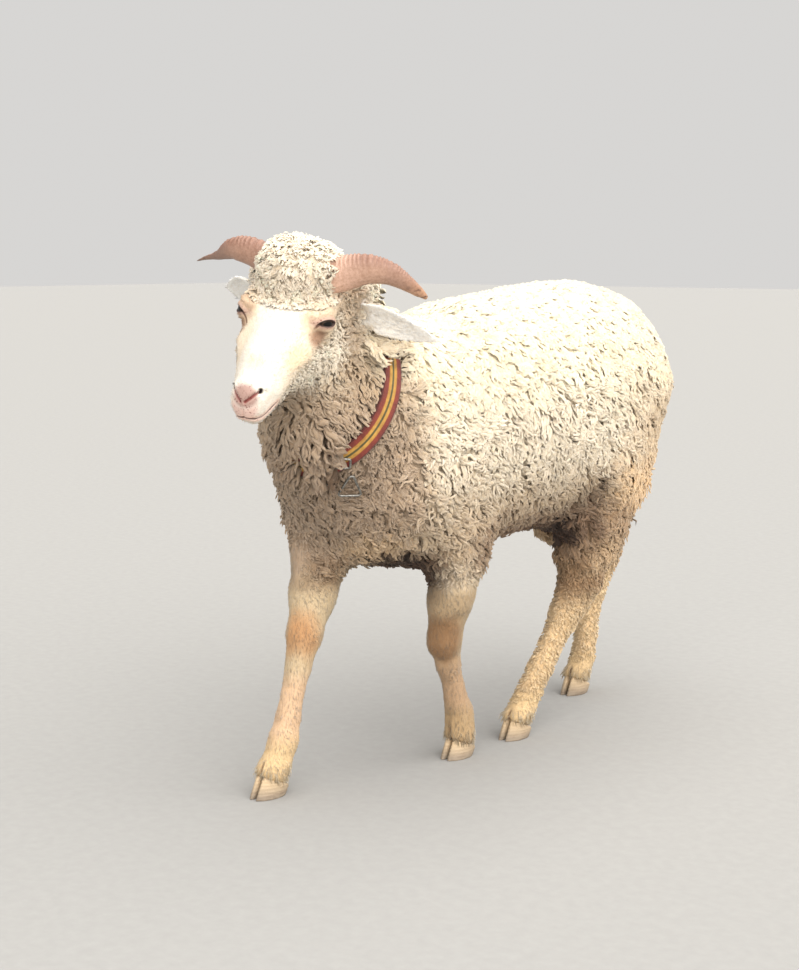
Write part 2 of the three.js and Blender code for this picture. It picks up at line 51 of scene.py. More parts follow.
MM = 0.001
EYE = (50, -3, 0)
EYE_AT = Vector(EYE) * MM
HEAD_AT = Vector((28, -22, 661)) * MM
HEAD_TURN = Euler((math.radians(18), math.radians(9), math.radians(20)), "XYZ")
head_turn = Matrix.Rotation(HEAD_TURN.z, 3, "Z") @ Matrix.Rotation(HEAD_TURN.x, 3, "X")
head_turn = head_turn @ Matrix.Rotation(HEAD_TURN.y, 3, "Y")


def middle(node):
    """The middle of a CAD node's box."""
    low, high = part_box(node)
    return (low + high) / 2


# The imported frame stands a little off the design's own zero, found from the left eye.
zero = middle("eye_left") - head_turn @ EYE_AT - HEAD_AT
head_frame = Matrix.Translation(zero + HEAD_AT) @ head_turn.to_4x4()


def select_only(*pieces):
    """Leaves just these pieces selected, the first of them active."""
    bpy.ops.object.select_all(action="DESELECT")
    for piece in pieces:
        piece.select_set(True)
    bpy.context.view_layer.objects.active = pieces[0]


class Recipe:
    """A node material under construction."""

    def __init__(self, name, **principled):
        self.material = bpy.data.materials.new(name)
        self.material.use_nodes = True
        self.tree = self.material.node_tree
        self.shader = self.tree.nodes["Principled BSDF"]
        for socket, value in principled.items():
            self.shader.inputs[socket.replace("_", " ")].default_value = value

    def node(self, kind, settings=(), **inputs):
        """Adds a node. An input is given a value, or the socket that feeds it."""
        made = self.tree.nodes.new("ShaderNode" + kind)
        for name, value in dict(settings).items():
            setattr(made, name, value)
        for name, value in inputs.items():
            self.feed(made.inputs[name.replace("_", " ")], value)
        return made

    def feed(self, socket, value):
        if isinstance(value, bpy.types.NodeSocket):
            self.tree.links.new(value, socket)
        else:
            socket.default_value = value

    def reading(self, name, socket="Color"):
        """What an attribute of the piece holds."""
        return self.node("Attribute", {"attribute_name": name}).outputs[socket]

    def unwrap(self, name):
        """The piece's own UV map of this name."""
        return self.node("UVMap", {"uv_map": name}).outputs["UV"]

    def scaled(self, at, scale):
        mapping = self.node("Mapping", Vector=at)
        mapping.inputs["Scale"].default_value = scale
        return mapping.outputs["Vector"]

    def places(self, scale=(1, 1, 1)):
        """Object coordinates, scaled."""
        return self.scaled(self.node("TexCoord").outputs["Object"], scale)

    def length(self, at):
        """How far a place is from zero."""
        made = self.node("VectorMath", {"operation": "LENGTH"})
        self.feed(made.inputs[0], at)
        return made.outputs["Value"]

    def noise(self, scale, at, detail=4, roughness=0.6):
        made = self.node("TexNoise", Vector=at, Scale=scale, Detail=detail, Roughness=roughness)
        return made.outputs["Fac"]

    def between(self, factor, low, high):
        """A factor from 0 to 1, stretched to run from low to high."""
        return self.node("MapRange", Value=factor, To_Min=low, To_Max=high).outputs["Result"]

    def ramp(self, factor, *stops):
        """A colour ramp with (place, colour) stops."""
        made = self.node("ValToRGB", Fac=factor)
        elements = made.color_ramp.elements
        while len(elements) < len(stops):
            elements.new(0.5)
        for element, (place, colour) in zip(elements, stops):
            element.position = place
            element.color = colour
        return made.outputs["Color"]

    def mix(self, kind, factor, a, b):
        made = self.node("Mix", {"data_type": "RGBA", "blend_type": kind})
        self.feed(made.inputs[0], factor)
        self.feed(made.inputs[6], a)
        self.feed(made.inputs[7], b)
        return made.outputs[2]

    def math(self, kind, a, b):
        made = self.node("Math", {"operation": kind})
        self.feed(made.inputs[0], a)
        self.feed(made.inputs[1], b)
        return made.outputs[0]

    def bump(self, height, distance, strength):
        return self.node("Bump", Height=height, Strength=strength, Distance=distance).outputs["Normal"]

    def wire(self, **sockets):
        """Feeds the shader's own sockets."""
        for name, value in sockets.items():
            self.feed(self.shader.inputs[name.replace("_", " ")], value)
        return self.material


def dress(piece, material):
    """Gives a piece one material."""
    piece.data.materials.clear()
    piece.data.materials.append(material)


def linear(red, green, blue):
    """A screen colour, 0 to 255, as the light that a shader works in."""
    return tuple(((c / 255 + 0.055) / 1.055) ** 2.4 if c > 10 else c / 3294.6 for c in (red, green, blue))


def colour(red, green, blue):
    return (*linear(red, green, blue), 1.0)


FLOOR_HALF = 30.0
bpy.ops.mesh.primitive_plane_add(size=2 * FLOOR_HALF, location=(0, 0, 0))
floor = bpy.context.active_object
floor.name = "floor"
paper = Recipe("pale_paper", Roughness=0.9)
grain = paper.noise(60.0, paper.places())
dress(floor, paper.wire(
    Base_Color=paper.ramp(grain, (0.3, colour(150, 149, 147)), (0.7, colour(155, 154, 152))),
    Normal=paper.bump(grain, 0.0004, 0.3),
))

world = bpy.data.worlds.new("overcast")
bpy.context.scene.world = world
world.use_nodes = True
world.node_tree.nodes["Background"].inputs["Color"].default_value = (1.0, 0.985, 0.965, 1.0)
world.node_tree.nodes["Background"].inputs["Strength"].default_value = 0.68
bpy.context.scene.view_settings.view_transform = "Standard"


def hang_lamp(name, energy, spread, tint, at):
    """Hangs a broad far lamp at a point and turns it to face the sheep."""
    lamp = bpy.data.lights.new(name, "SUN")
    lamp.energy = energy
    lamp.angle = math.radians(spread)
    lamp.color = tint
    stand = bpy.data.objects.new(name, lamp)
    stand.location = at
    stand.rotation_euler = (-Vector(at)).to_track_quat("-Z", "Y").to_euler()
    bpy.context.scene.collection.objects.link(stand)


hang_lamp("sky", 4.5, 105, (1.0, 0.975, 0.93), (1.5, 0.6, 3.3))
hang_lamp("front_fill", 2.3, 75, (1.0, 0.97, 0.93), (2.9, -2.9, 1.3))

LENS = 63.09
CAMERA_AT = Vector((1.57739, -1.58311, 0.740))
CAMERA_LOOK = Vector((-0.65003, 0.74778, -0.13522))
camera = bpy.data.objects.new("camera", bpy.data.cameras.new("camera"))
camera.data.lens = LENS
camera.location = zero + CAMERA_AT
camera.rotation_euler = CAMERA_LOOK.to_track_quat("-Z", "Y").to_euler()
bpy.context.scene.collection.objects.link(camera)
bpy.context.scene.camera = camera

# ------------------------------------------------------------------ hide
# The sheep's skin: one closed surface from nose to tail and down to the claws. It lies under the
# fleece by the depth of the wool and just under the short hair of the face, ears and shanks.

LEGS = ("front_left", "front_right", "hind_left", "hind_right")
EARS = ("ear_left", "ear_right")
FLESH = ("head", "neck", "trunk", "tail", *EARS, *(leg + "_leg" for leg in LEGS))
SIDES = {"left": 1, "right": -1}
WELD = 1e-5
CLOSE_GAPS = 0.5 * MM
VOXEL = 2.2 * MM
MIDLINE = 8


def welded_copy(node, name):
    """A copy of a CAD node with its loose triangles joined."""
    piece = bpy.data.objects.new(name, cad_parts[node].data.copy())
    bpy.context.scene.collection.objects.link(piece)
    select_only(piece)
    bpy.ops.object.mode_set(mode="EDIT")
    bpy.ops.mesh.select_all(action="SELECT")
    bpy.ops.mesh.remove_doubles(threshold=WELD)
    bpy.ops.object.mode_set(mode="OBJECT")
    return piece


def apply_modifier(piece, kind, **settings):
    """Adds a modifier to a piece and applies it."""
    select_only(piece)
    modifier = piece.modifiers.new(kind.lower(), kind)
    for name, value in settings.items():
        setattr(modifier, name, value)
    bpy.ops.object.modifier_apply(modifier=modifier.name)


head_axes = np.array(head_frame)[:3, :3]


def in_head(points):
    """Points in the head's own frame, in millimetres: x to its left, y to the back, z up."""
    back = np.array(head_frame.inverted())
    return (points @ back[:3, :3].T + back[:3, 3]) / MM


def in_room(points):
    """Points of the head's own frame, in millimetres, as places in the room."""
    return (points * MM) @ head_axes.T + np.array(head_frame.translation)


def in_design(points):
    """Points in the design's frame, in millimetres."""
    return (points - np.array(zero)) / MM


def values_of(items, name, width=1, kind=np.float32):
    """One value, or a row of several, for each vertex, edge, corner or face of a mesh."""
    flat = np.empty(len(items) * width, kind)
    items.foreach_get(name, flat)
    return flat.reshape(-1, width) if width > 1 else flat


def store(items, name, values):
    items.foreach_set(name, values.astype(np.float32).ravel())


def vertices_of(mesh):
    return values_of(mesh.vertices, "co", 3).astype(float)


def normals_of(mesh):
    return values_of(mesh.vertices, "normal", 3).astype(float)


def corners_of(mesh):
    """The vertex at each corner of each face."""
    return values_of(mesh.loops, "vertex_index", kind=np.int32)


def face_starts_of(mesh):
    """The number of each face's first corner."""
    return values_of(mesh.polygons, "loop_start", kind=np.int32)


def move_vertices(mesh, points):
    store(mesh.vertices, "co", points)
    mesh.update()


def smoothstep(low, high, x):
    t = np.clip((x - low) / (high - low), 0, 1)
    return t * t * (3 - 2 * t)


def blend(a, b, t):
    t = t[:, None] if np.ndim(b) > np.ndim(t) or np.ndim(a) > np.ndim(t) else t
    return a + (b - a) * t


class Net:
    """The edges of a mesh, for averaging a value over neighbours."""

    def __init__(self, mesh):
        ends = values_of(mesh.edges, "vertices", 2, np.int32)
        self.here = ends.ravel()
        self.there = ends[:, ::-1].ravel()
        self.count = len(mesh.vertices)
        self.degree = np.maximum(np.bincount(self.here, minlength=self.count), 1)

    def average(self, values):
        flat = values.reshape(self.count, -1)
        sums = [np.bincount(self.here, flat[self.there, k], self.count) for k in range(flat.shape[1])]
        return (np.stack(sums, 1) / self.degree[:, None]).reshape(values.shape)

    def smooth(self, values, rounds, weight=0.5):
        if np.ndim(weight) == 1 and values.ndim == 2:
            weight = weight[:, None]
        for _ in range(rounds):
            values = values + (self.average(values) - values) * weight
        return values


def smooth_shape(mesh, rounds, weight):
    """Smooths a mesh and gives back what it shrank."""
    net = Net(mesh)
    before = vertices_of(mesh)
    after = net.smooth(before, rounds, weight)
    move_vertices(mesh, after)
    outwards = normals_of(mesh)
    lost = ((before - after) * outwards).sum(1)
    move_vertices(mesh, after + outwards * net.smooth(lost, rounds * 2)[:, None])


node_points = KDTree(sum(len(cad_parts[n].data.vertices) for n in FLESH))
owner = []
for number, node in enumerate(FLESH):
    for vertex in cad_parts[node].data.vertices:
        node_points.insert(vertex.co, len(owner))
        owner.append(number)
node_points.balance()


def part_of(points):
    """The flesh node nearest each point, as a place in FLESH."""
    return np.array([owner[node_points.find(p)[1]] for p in points.astype(float).tolist()])


def is_part(parts, *names):
    return np.isin(parts, [n for n, node in enumerate(FLESH) if node in names])


# Balls close the eye sockets and the roots of the horns.
EYE_PLUG = 15.5 * MM
HORN_ROOT = (46, 40, 50)
HORN_ROOT_SIZE = (17 * MM, 17 * MM, 23 * MM, 1)


def plug(radius, at):
    bpy.ops.mesh.primitive_uv_sphere_add(segments=32, ring_count=16, radius=radius)
    ball = bpy.context.active_object
    ball.data.transform(head_frame @ at)
    return ball


pieces = [welded_copy(node, "skin_" + node) for node in FLESH]
for sign in SIDES.values():
    pieces.append(plug(EYE_PLUG, Matrix.Translation((sign * EYE_AT.x, EYE_AT.y, EYE_AT.z))))
    horn_root = Vector(HORN_ROOT) * MM
    horn_root.x *= sign
    pieces.append(plug(1, Matrix.Translation(horn_root) @ Matrix.Diagonal(HORN_ROOT_SIZE)))
select_only(*pieces)
bpy.ops.object.join()
skin = bpy.context.active_object
skin.name = "skin"
apply_modifier(skin, "DISPLACE", strength=CLOSE_GAPS, mid_level=0)
apply_modifier(skin, "REMESH", mode="VOXEL", voxel_size=VOXEL)


def select_faces(mask):
    """Selects the skin's faces whose vertices are all in the mask, and stays in edit mode."""
    select_only(skin)
    bpy.ops.object.mode_set(mode="EDIT")
    bpy.ops.mesh.select_mode(type="FACE")
    bpy.ops.mesh.select_all(action="DESELECT")
    bpy.ops.object.mode_set(mode="OBJECT")
    inside = np.logical_and.reduceat(mask[corners_of(skin.data)], face_starts_of(skin.data))
    skin.data.polygons.foreach_set("select", inside)
    bpy.ops.object.mode_set(mode="EDIT")


def thin_out(mask, ratio):
    select_faces(mask)
    bpy.ops.mesh.decimate(ratio=ratio)
    bpy.ops.object.mode_set(mode="OBJECT")


def refine(mask):
    select_faces(mask)
    bpy.ops.mesh.subdivide(number_cuts=1, ngon=False)
    bpy.ops.object.mode_set(mode="OBJECT")


# Under wool the facets may be broad, on the shanks less so, and on the bare head they stay fine.
WOOL_ENDS = 0.27
SEAM = 0.004
KEPT_UNDER_FLEECE = 0.055
KEPT_ON_SHANKS = 0.25
KEPT_UNDER_CAP = 0.2
parts = part_of(vertices_of(skin.data))
smooth_shape(skin.data, 24, np.where(is_part(parts, *EARS), 0.14, 0.5))
high = vertices_of(skin.data)[:, 2] > WOOL_ENDS
thin_out(~is_part(parts, "head", *EARS) & high, KEPT_UNDER_FLEECE)
parts = part_of(vertices_of(skin.data))
below = vertices_of(skin.data)[:, 2] < WOOL_ENDS - SEAM
thin_out(~is_part(parts, "head", *EARS) & below, KEPT_ON_SHANKS)
parts = part_of(vertices_of(skin.data))
on_head = in_head(vertices_of(skin.data))
thin_out(is_part(parts, "head") & ((on_head[:, 1] > 48) | (on_head[:, 2] > 34)), KEPT_UNDER_CAP)
select_faces(np.ones(len(skin.data.vertices), bool))
bpy.ops.mesh.quads_convert_to_tris()
bpy.ops.object.mode_set(mode="OBJECT")


# The eyelids, nostrils and lips need finer facets than the rest of the hide.
def eye_middle(sign):
    return np.array(EYE) * (sign, 1, 1)


def from_eyes(points):
    """How far points in the head's frame are from the middle of the nearer eye."""
    return np.minimum(*(np.linalg.norm(points - eye_middle(sign), axis=1) for sign in SIDES.values()))


for reach in (26, 20):
    refine(from_eyes(in_head(vertices_of(skin.data))) < reach)
on_head = in_head(vertices_of(skin.data))
refine((on_head[:, 1] < -86) & (on_head[:, 2] < -40))
mesh = skin.data

parts = part_of(vertices_of(mesh))
net = Net(mesh)
outer = vertices_of(mesh)
on_head = in_head(outer)
hx, hy, hz = on_head.T
place = in_design(outer)
x, y, z = place.T
head = is_part(parts, "head").astype(float)
ear = is_part(parts, *EARS).astype(float)
foreleg = is_part(parts, "front_left_leg", "front_right_leg").astype(float)
hindleg = is_part(parts, "hind_left_leg", "hind_right_leg").astype(float)
tail = is_part(parts, "tail").astype(float)
flesh = 1 - np.clip(head + ear + foreleg + hindleg, 0, 1)
on_right = x < MIDLINE

# The depth of the coat, in millimetres. The right foreleg steps out of the wool higher up.
FLEECE_DEPTH = 11.5
THINNER_ABOVE = 5.5
LEG_WOOL = 11.0
CLOSE_HAIR = 1.2
cap = smoothstep(14, 26, hz) * smoothstep(-34, -14, hy)
cheek_edge = np.maximum(22 + 1.8 * (hz - 5), -66 + 0.6 * (hz + 39))
cheek = smoothstep(-10, 30, hy - cheek_edge) * smoothstep(19, 30, from_eyes(on_head))
head_depth = np.maximum(blend(CLOSE_HAIR, 7.0, cheek), blend(CLOSE_HAIR, 8.5, cap))
above_hem = z - np.where(on_right, 332, 262)
foreleg_depth = blend(CLOSE_HAIR, 5.0, smoothstep(0, 26, above_hem))
foreleg_depth = blend(foreleg_depth, LEG_WOOL, smoothstep(18, 62, above_hem))
hindleg_depth = blend(1.3, 4.5, smoothstep(28, 90, z))
hindleg_depth = blend(hindleg_depth, LEG_WOOL, smoothstep(190, 330, z))
topside = smoothstep(0.0, 0.7, normals_of(mesh)[:, 2]) * flesh
depth = flesh * (FLEECE_DEPTH - THINNER_ABOVE * topside) - tail * 6.0 + ear * 0.6
depth += head * head_depth + foreleg * foreleg_depth + hindleg * hindleg_depth
smooth_front = smoothstep(-40, -55, x) * smoothstep(155, 135, y) * smoothstep(372, 345, z) * flesh
depth = blend(depth, 1.3, smooth_front)

# The hide is fuller behind the thighs and at the coronets, and drawn in at the left breech.
facing_back = smoothstep(0.0, 0.5, normals_of(mesh)[:, 1])
right_ham = hindleg * on_right * facing_back * smoothstep(160, 250, z) * smoothstep(390, 300, z)
left_ham = hindleg * (x > 40) * facing_back * smoothstep(240, 290, z) * smoothstep(390, 350, z)
left_breech = smoothstep(20, 60, x) * smoothstep(630, 680, y)
left_breech *= smoothstep(375, 400, z) * smoothstep(520, 480, z)
coronet = (foreleg + hindleg) * smoothstep(54, 44, z)
sink = depth - 12.0 * right_ham - 8.0 * left_ham + 12.0 * left_breech - 2.2 * coronet
change = np.where(head + ear > 0, 0.25, 0.5)
sink = net.smooth(sink, 14, change)
depth = net.smooth(depth, 14, change)
topside = net.smooth(topside, 14)
ear = net.smooth(ear, 3)
head = net.smooth(head, 10)
foreleg = net.smooth(foreleg, 8)
hindleg = net.smooth(hindleg, 8)

body = np.clip(1 - head - ear, 0, 1) * smoothstep(WOOL_ENDS, 0.36, outer[:, 2])
smooth_shape(mesh, 24, 0.5 * body)
move_vertices(mesh, vertices_of(mesh) - normals_of(mesh) * (sink * MM)[:, None])
move_vertices(mesh, net.smooth(vertices_of(mesh), 6, 0.4 * body))

# Eyelids: the skin is drawn over the eyeball and opens in an almond along the face.
LID_RADIUS = 16.4
UNDER_LID = 13.2
CANTHUS = 0.72
UPPER_LID = 0.29
LOWER_LID = 0.16
LID_SOFTNESS = 2.0


def groove(distance, width):
    return np.exp(-((distance / width) ** 2))


def eye_axes(sign):
    """Where an eye looks, the way to its front corner and the way up, in the head's frame."""
    gaze = Vector((sign * 0.80, -0.55, 0.15)).normalized()
    front = Vector((0, -0.95, 0.2))
    front = (front - gaze * front.dot(gaze)).normalized()
    up = front.cross(gaze) * sign
    return gaze, front, up


def lid_terms(points, sign):
    """Points seen from an eye's middle: how far and which way they are, and how far outside its opening."""
    gaze, front, up = (np.array(axis) for axis in eye_axes(sign))
    way = points - eye_middle(sign)
    radius = np.linalg.norm(way, axis=1)
    way = way / np.maximum(radius, 1e-6)[:, None]
    along, rise, ahead = way @ front, way @ up, way @ gaze
    half = np.where(rise > 0, UPPER_LID, LOWER_LID) * np.clip(1 - (along / CANTHUS) ** 2, 0, 1) ** 0.75
    beyond = np.maximum(np.abs(along) - CANTHUS, 0)
    outside = np.hypot(beyond, np.maximum(np.abs(rise) - half, 0)) * LID_RADIUS
    opening = (np.abs(rise) < half) & (ahead > 0)
    return radius, way, rise, ahead, outside, opening


on_head = in_head(vertices_of(mesh))
for sign in SIDES.values():
    radius, way, rise, ahead, outside, opening = lid_terms(on_head, sign)
    lid = LID_RADIUS + 0.7 * groove(outside - 1.0, 0.9)
    lid += 1.2 * groove(outside - 3.0, 1.8) * (rise > 0)
    lid -= 1.1 * groove(outside - 6.4, 1.0) * (rise > 0)
    lid -= 0.5 * groove(outside - 4.2, 0.9) * (rise < 0)
    gap = np.clip((lid - radius) / LID_SOFTNESS, -30, 30)
    raised = radius + LID_SOFTNESS * np.log1p(np.exp(gap))
    reach = (1 - smoothstep(7, 13, outside)) * smoothstep(-0.1, 0.25, ahead)
    drawn = np.where(opening, UNDER_LID, blend(radius, raised, reach))
    drawn = np.where((radius < 34) & (ahead > -0.1), drawn, radius)
    on_head = eye_middle(sign) + way * drawn[:, None]


# Nostrils, lips and the folds of the face are grooves and welts along short paths.
def from_path(points, *path):
    """The distance of points from a path of straight lengths."""
    nearest = np.full(len(points), 1e9)
    for a, b in zip(path, path[1:]):
        a, b = np.array(a, float), np.array(b, float)
        t = np.clip(((points - a) @ (b - a)) / ((b - a) @ (b - a)), 0, 1)
        nearest = np.minimum(nearest, np.linalg.norm(points - a - t[:, None] * (b - a), axis=1))
    return nearest


def mirrored(sign, path):
    return [(sign * x, y, z) for x, y, z in path]


def away(points, middle, squash=(1, 1, 1)):
    """How far points are from a middle, when each axis is squashed."""
    return np.linalg.norm((points - middle) * squash, axis=1)


NOSTRIL = ((3.5, -138, -64.5), (8, -136, -61), (13, -131, -57), (18, -121, -53.5))
NOSTRIL_RIM = ((8, -136, -54), (16, -123, -46.5), (22, -114, -52))
MOUTH = ((0, -133, -89), (9, -130, -90.5), (18, -118, -89), (24, -104, -84), (28, -92, -79))
LOWER_LIP = ((6, -133, -95), (18, -116, -95))
LIP_CLEFT = ((0, -141, -68), (0, -134, -88))
TEAR_LINE = ((53, -19, 3), (48, -22.5, -3), (44, -28, -9))
BROW = ((40, -22, 16), (55, -8, 17), (60, 12, 12))
CHEEK_BONE = ((58, 10, -26), (50, -22, -28), (40, -56, -38))

# Each fold's path, how deep it is sunk, or raised where that is below zero, and how wide it is.
FOLDS = (
    (NOSTRIL, 3.4, 1.7), (NOSTRIL_RIM, -1.5, 3.0), (MOUTH, 2.6, 1.3), (LOWER_LIP, -1.0, 3.5),
    (TEAR_LINE, 1.3, 1.5), (CHEEK_BONE, -1.2, 7.0),
)
BROW_HEIGHTS = {1: 1.6, -1: 4.5}

move_vertices(mesh, in_room(on_head))
outwards = normals_of(mesh) @ head_axes
on_head = in_head(vertices_of(mesh))
unsunk = on_head
sunk = 1.6 * groove(from_path(on_head, *LIP_CLEFT), 1.3)
for sign in SIDES.values():
    for path, deep, wide in FOLDS:
        sunk += deep * groove(from_path(on_head, *mirrored(sign, path)), wide)
    sunk += 3.4 * groove(away(on_head, np.array(NOSTRIL[-1]) * (sign, 1, 1)), 2.8)
    sunk -= BROW_HEIGHTS[sign] * groove(from_path(on_head, *mirrored(sign, BROW)), 6.0)
on_head = on_head - outwards * (sunk * (head > 0.5))[:, None]
move_vertices(mesh, in_room(on_head))

# The cleft between the toes runs up the front of each foot.
CLEFT_DEPTH = 4.0 * MM
cleft = np.zeros(len(place))
for leg in LEGS:
    outer_toe, inner_toe = (in_design(np.array([middle(f"{leg}_claw_{n}")]))[0] for n in ("outer", "inner"))
    apart = (outer_toe - inner_toe) * (1, 1, 0)
    apart /= np.linalg.norm(apart)
    ahead_of_foot = np.array((apart[1], -apart[0], 0)) * np.sign(apart[0])
    way = place - (outer_toe + inner_toe) / 2
    near = smoothstep(40, 30, np.linalg.norm(way[:, :2], axis=1)) * smoothstep(4, 10, way @ ahead_of_foot)
    cleft = np.maximum(cleft, groove(way @ apart, 2.2) * near * smoothstep(62, 40, z))
move_vertices(mesh, vertices_of(mesh) - normals_of(mesh) * (CLEFT_DEPTH * cleft)[:, None])
mesh.polygons.foreach_set("use_smooth", np.ones(len(mesh.polygons), bool))

# The unwrap that the hide and every tuft's root share.
select_faces(np.ones(len(mesh.vertices), bool))
bpy.ops.uv.smart_project(angle_limit=math.radians(66), island_margin=0.001)
bpy.ops.object.mode_set(mode="OBJECT")
mesh.uv_layers.active.name = "OFBake"


# Markings, with painted light and shade laid in, which the hide and the coat share: a colour for every
# vertex of the hide.
def patches(points, size, seed):
    """Smooth noise from -1 to 1, with patches of about this size."""
    shift = Vector((seed * 17.3, seed * 5.1, seed * 9.7))
    return np.array([noise.noise(Vector(p) / size + shift) for p in points.tolist()])


def paint(base, *coats):
    """Lays screen colours over a base, one on another, each as thickly as it says."""
    for tint, amount in coats:
        base = base + (np.array(linear(*tint)) - base) * np.clip(amount, 0, 1)[:, None]
    return base


def mark(mesh, tint):
    """Stores a colour for each vertex, which the materials read."""
    layer = mesh.color_attributes.new("markings_and_painted_light", "FLOAT_COLOR", "POINT")
    store(layer.data, "color", np.hstack([tint, np.ones((len(tint), 1))]))


CREAM = (242, 229, 206)
hx, hy, hz = on_head.T
sideways, _, upwards = normals_of(mesh).T
on_trunk = (1 - foreleg) * (1 - hindleg)
broad = patches(place, 70, 1)
small = patches(place, 22, 2)

# Fleece: cream, duller below, in front and behind, with brown in the fold of the haunch. Painted sunlight
# makes the back lighter, and painted shade darkens the chest and the front of the neck.
# Dirt, and painted shade round the collar's rings, darken the wool there.
dirt_and_shade = smoothstep(0.05, 0.4, small + 0.3 * broad) * smoothstep(70, 30, away(place, (36, 40, 462)))
haunch = smoothstep(470, 532, y + 20 * broad) * smoothstep(435, 385, z + 20 * small)
haunch *= smoothstep(300, 340, z) * smoothstep(578, 540, y + 10 * small)
shade = paint(
    np.tile(linear(*CREAM), (len(x), 1)),
    # painted sunlight on the back
    ((248, 236, 206), smoothstep(500, 620, z + 18 * broad)),
    ((228, 214, 188), smoothstep(560, 690, y + 40 * broad) * smoothstep(520, 600, z) * 0.8),
    ((194, 170, 142), smoothstep(480, 370, z + 30 * broad) * 0.85),
    ((168, 142, 112), smoothstep(350, 318, z + 10 * small) * 0.8),
    ((216, 188, 154), smoothstep(560, 690, y + 60 * broad) * smoothstep(600, 500, z) * 0.8),
    ((234, 216, 188), smoothstep(200, 120, y + 20 * broad) * 0.8),
    # painted shade on the chest and the front of the neck, which face away from the light
    ((178, 152, 128), smoothstep(190, 120, y) * smoothstep(610, 550, z) * 0.8),
    ((172, 150, 129), smoothstep(170, 60, y) * smoothstep(560, 480, z) * smoothstep(0.9, 0.2, head)),
    ((80, 58, 40), haunch * 0.9),
    ((92, 68, 48), dirt_and_shade * 0.8),
)

# Legs: cream hair, rusty knees, pinkish shanks and yellower pasterns, with tan wool behind. Painted shade
# darkens the top of the right foreleg, the left foreleg and its knee, the inside of the right hind leg and
# the cleft of each foot; painted light lifts the back of the left thigh.
right_knee = away(place, (-40, 70, 214), (1, 1, 0.8))
left_knee = away(place, (64, 250, 190), (1, 1, 0.8))
tan_wool = hindleg * smoothstep(400, 340, z) * smoothstep(165, 235, z) * np.where(x > 0, 0.85, 0.5)
back_of_groin = hindleg * ~on_right * smoothstep(578, 542, y) * smoothstep(270, 310, z)
back_of_groin *= smoothstep(420, 380, z)
breech = smoothstep(535, 585, y + 14 * broad) * smoothstep(470, 390, z + 20 * small)
breech *= smoothstep(275, 315, z)
# Painted light on the back of the left thigh, lifting the shade that falls there.
thigh_edge_painted_light = hindleg * (x > 40) * smoothstep(562, 594, y + 10 * broad)
thigh_edge_painted_light *= smoothstep(430, 390, z) * smoothstep(285, 315, z)
lower_thigh = hindleg * (x > 20) * smoothstep(540, 572, y + 10 * broad)
lower_thigh *= smoothstep(232, 262, z) * smoothstep(362, 335, z)
shade = paint(
    shade,
    ((202, 182, 150), foreleg * smoothstep(350, 310, z)),
    # painted shade under the wool hem on the right foreleg
    ((140, 116, 92), foreleg * on_right * smoothstep(258, 292, z) * 0.8),
    ((212, 180, 148), foreleg * smoothstep(180, 140, z)),
    ((184, 132, 84), foreleg * smoothstep(40, 14, right_knee + 6 * small) * 0.8),
    # the left knee's rusty patch, made darker with painted shade from the body
    ((146, 104, 66), foreleg * smoothstep(44, 20, left_knee + 6 * small) * 0.9),
    ((212, 184, 142), (foreleg + hindleg) * smoothstep(95, 60, z)),
    ((156, 124, 92), tan_wool),
    ((228, 198, 156), hindleg * smoothstep(235, 165, z) * smoothstep(60, 95, z)),
    ((100, 74, 54), back_of_groin * 0.62),
    ((236, 200, 158), breech * 0.85),
    ((255, 232, 192), thigh_edge_painted_light * 0.8),
    ((240, 206, 166), lower_thigh * 0.65),
    ((206, 168, 128), right_ham * 0.5),
    # painted shade on the inner side of the right hind leg, between the legs
    ((112, 84, 62), hindleg * on_right * smoothstep(0.1, 0.5, sideways) * smoothstep(230, 260, z) * 0.85),
    # painted shade in the cleft between the toes
    ((96, 66, 48), cleft * 0.9),
    # painted shade from the body on the left foreleg
    ((140, 112, 82), foreleg * ~on_right * smoothstep(290, 250, z) * 0.5),
)

# Below: pale wool at the left forearm and the breast, darker wool low on the belly, and painted shade under
# the right foreleg's hem, on the underside and where the left legs join the body.
belly = smoothstep(392, 350, z + 8 * small) * smoothstep(220, 280, y) * on_trunk
under = smoothstep(-0.45, -0.8, upwards) * smoothstep(350, 325, z) * smoothstep(150, 190, y) * on_trunk
forearm = away(place, (92, 252, 300), (0.7, 0.7, 1))
breast = away(place, (28, 145, 342), (0.6, 0.8, 1))
armpit_shadow = away(place, (-45, 122, 305), (1, 1, 0.8))
brisket_shadow = away(place, (30, 205, 303), (0.8, 0.8, 1))
groin_shadow = away(place, (54, 528, 338), (0.8, 0.8, 1))
shade = paint(
    shade,
    ((252, 232, 204), smoothstep(46, 18, forearm + 6 * small) * 0.9),
    ((240, 206, 166), smoothstep(44, 16, breast + 6 * small) * 0.85),
    # painted shade under the wool hem of the right foreleg
    ((136, 110, 84), smoothstep(34, 14, armpit_shadow + 4 * small) * 0.8),
    ((126, 100, 80), belly * 0.7),
    # painted shade on the underside, which faces down
    ((108, 76, 58), under * 0.8),
    # painted shadow where the left foreleg joins the chest
    ((58, 40, 30), smoothstep(80, 30, brisket_shadow + 8 * small)),
    # painted shadow where the left hind leg joins the belly
    ((50, 34, 26), smoothstep(54, 30, groin_shadow + 6 * small)),
)
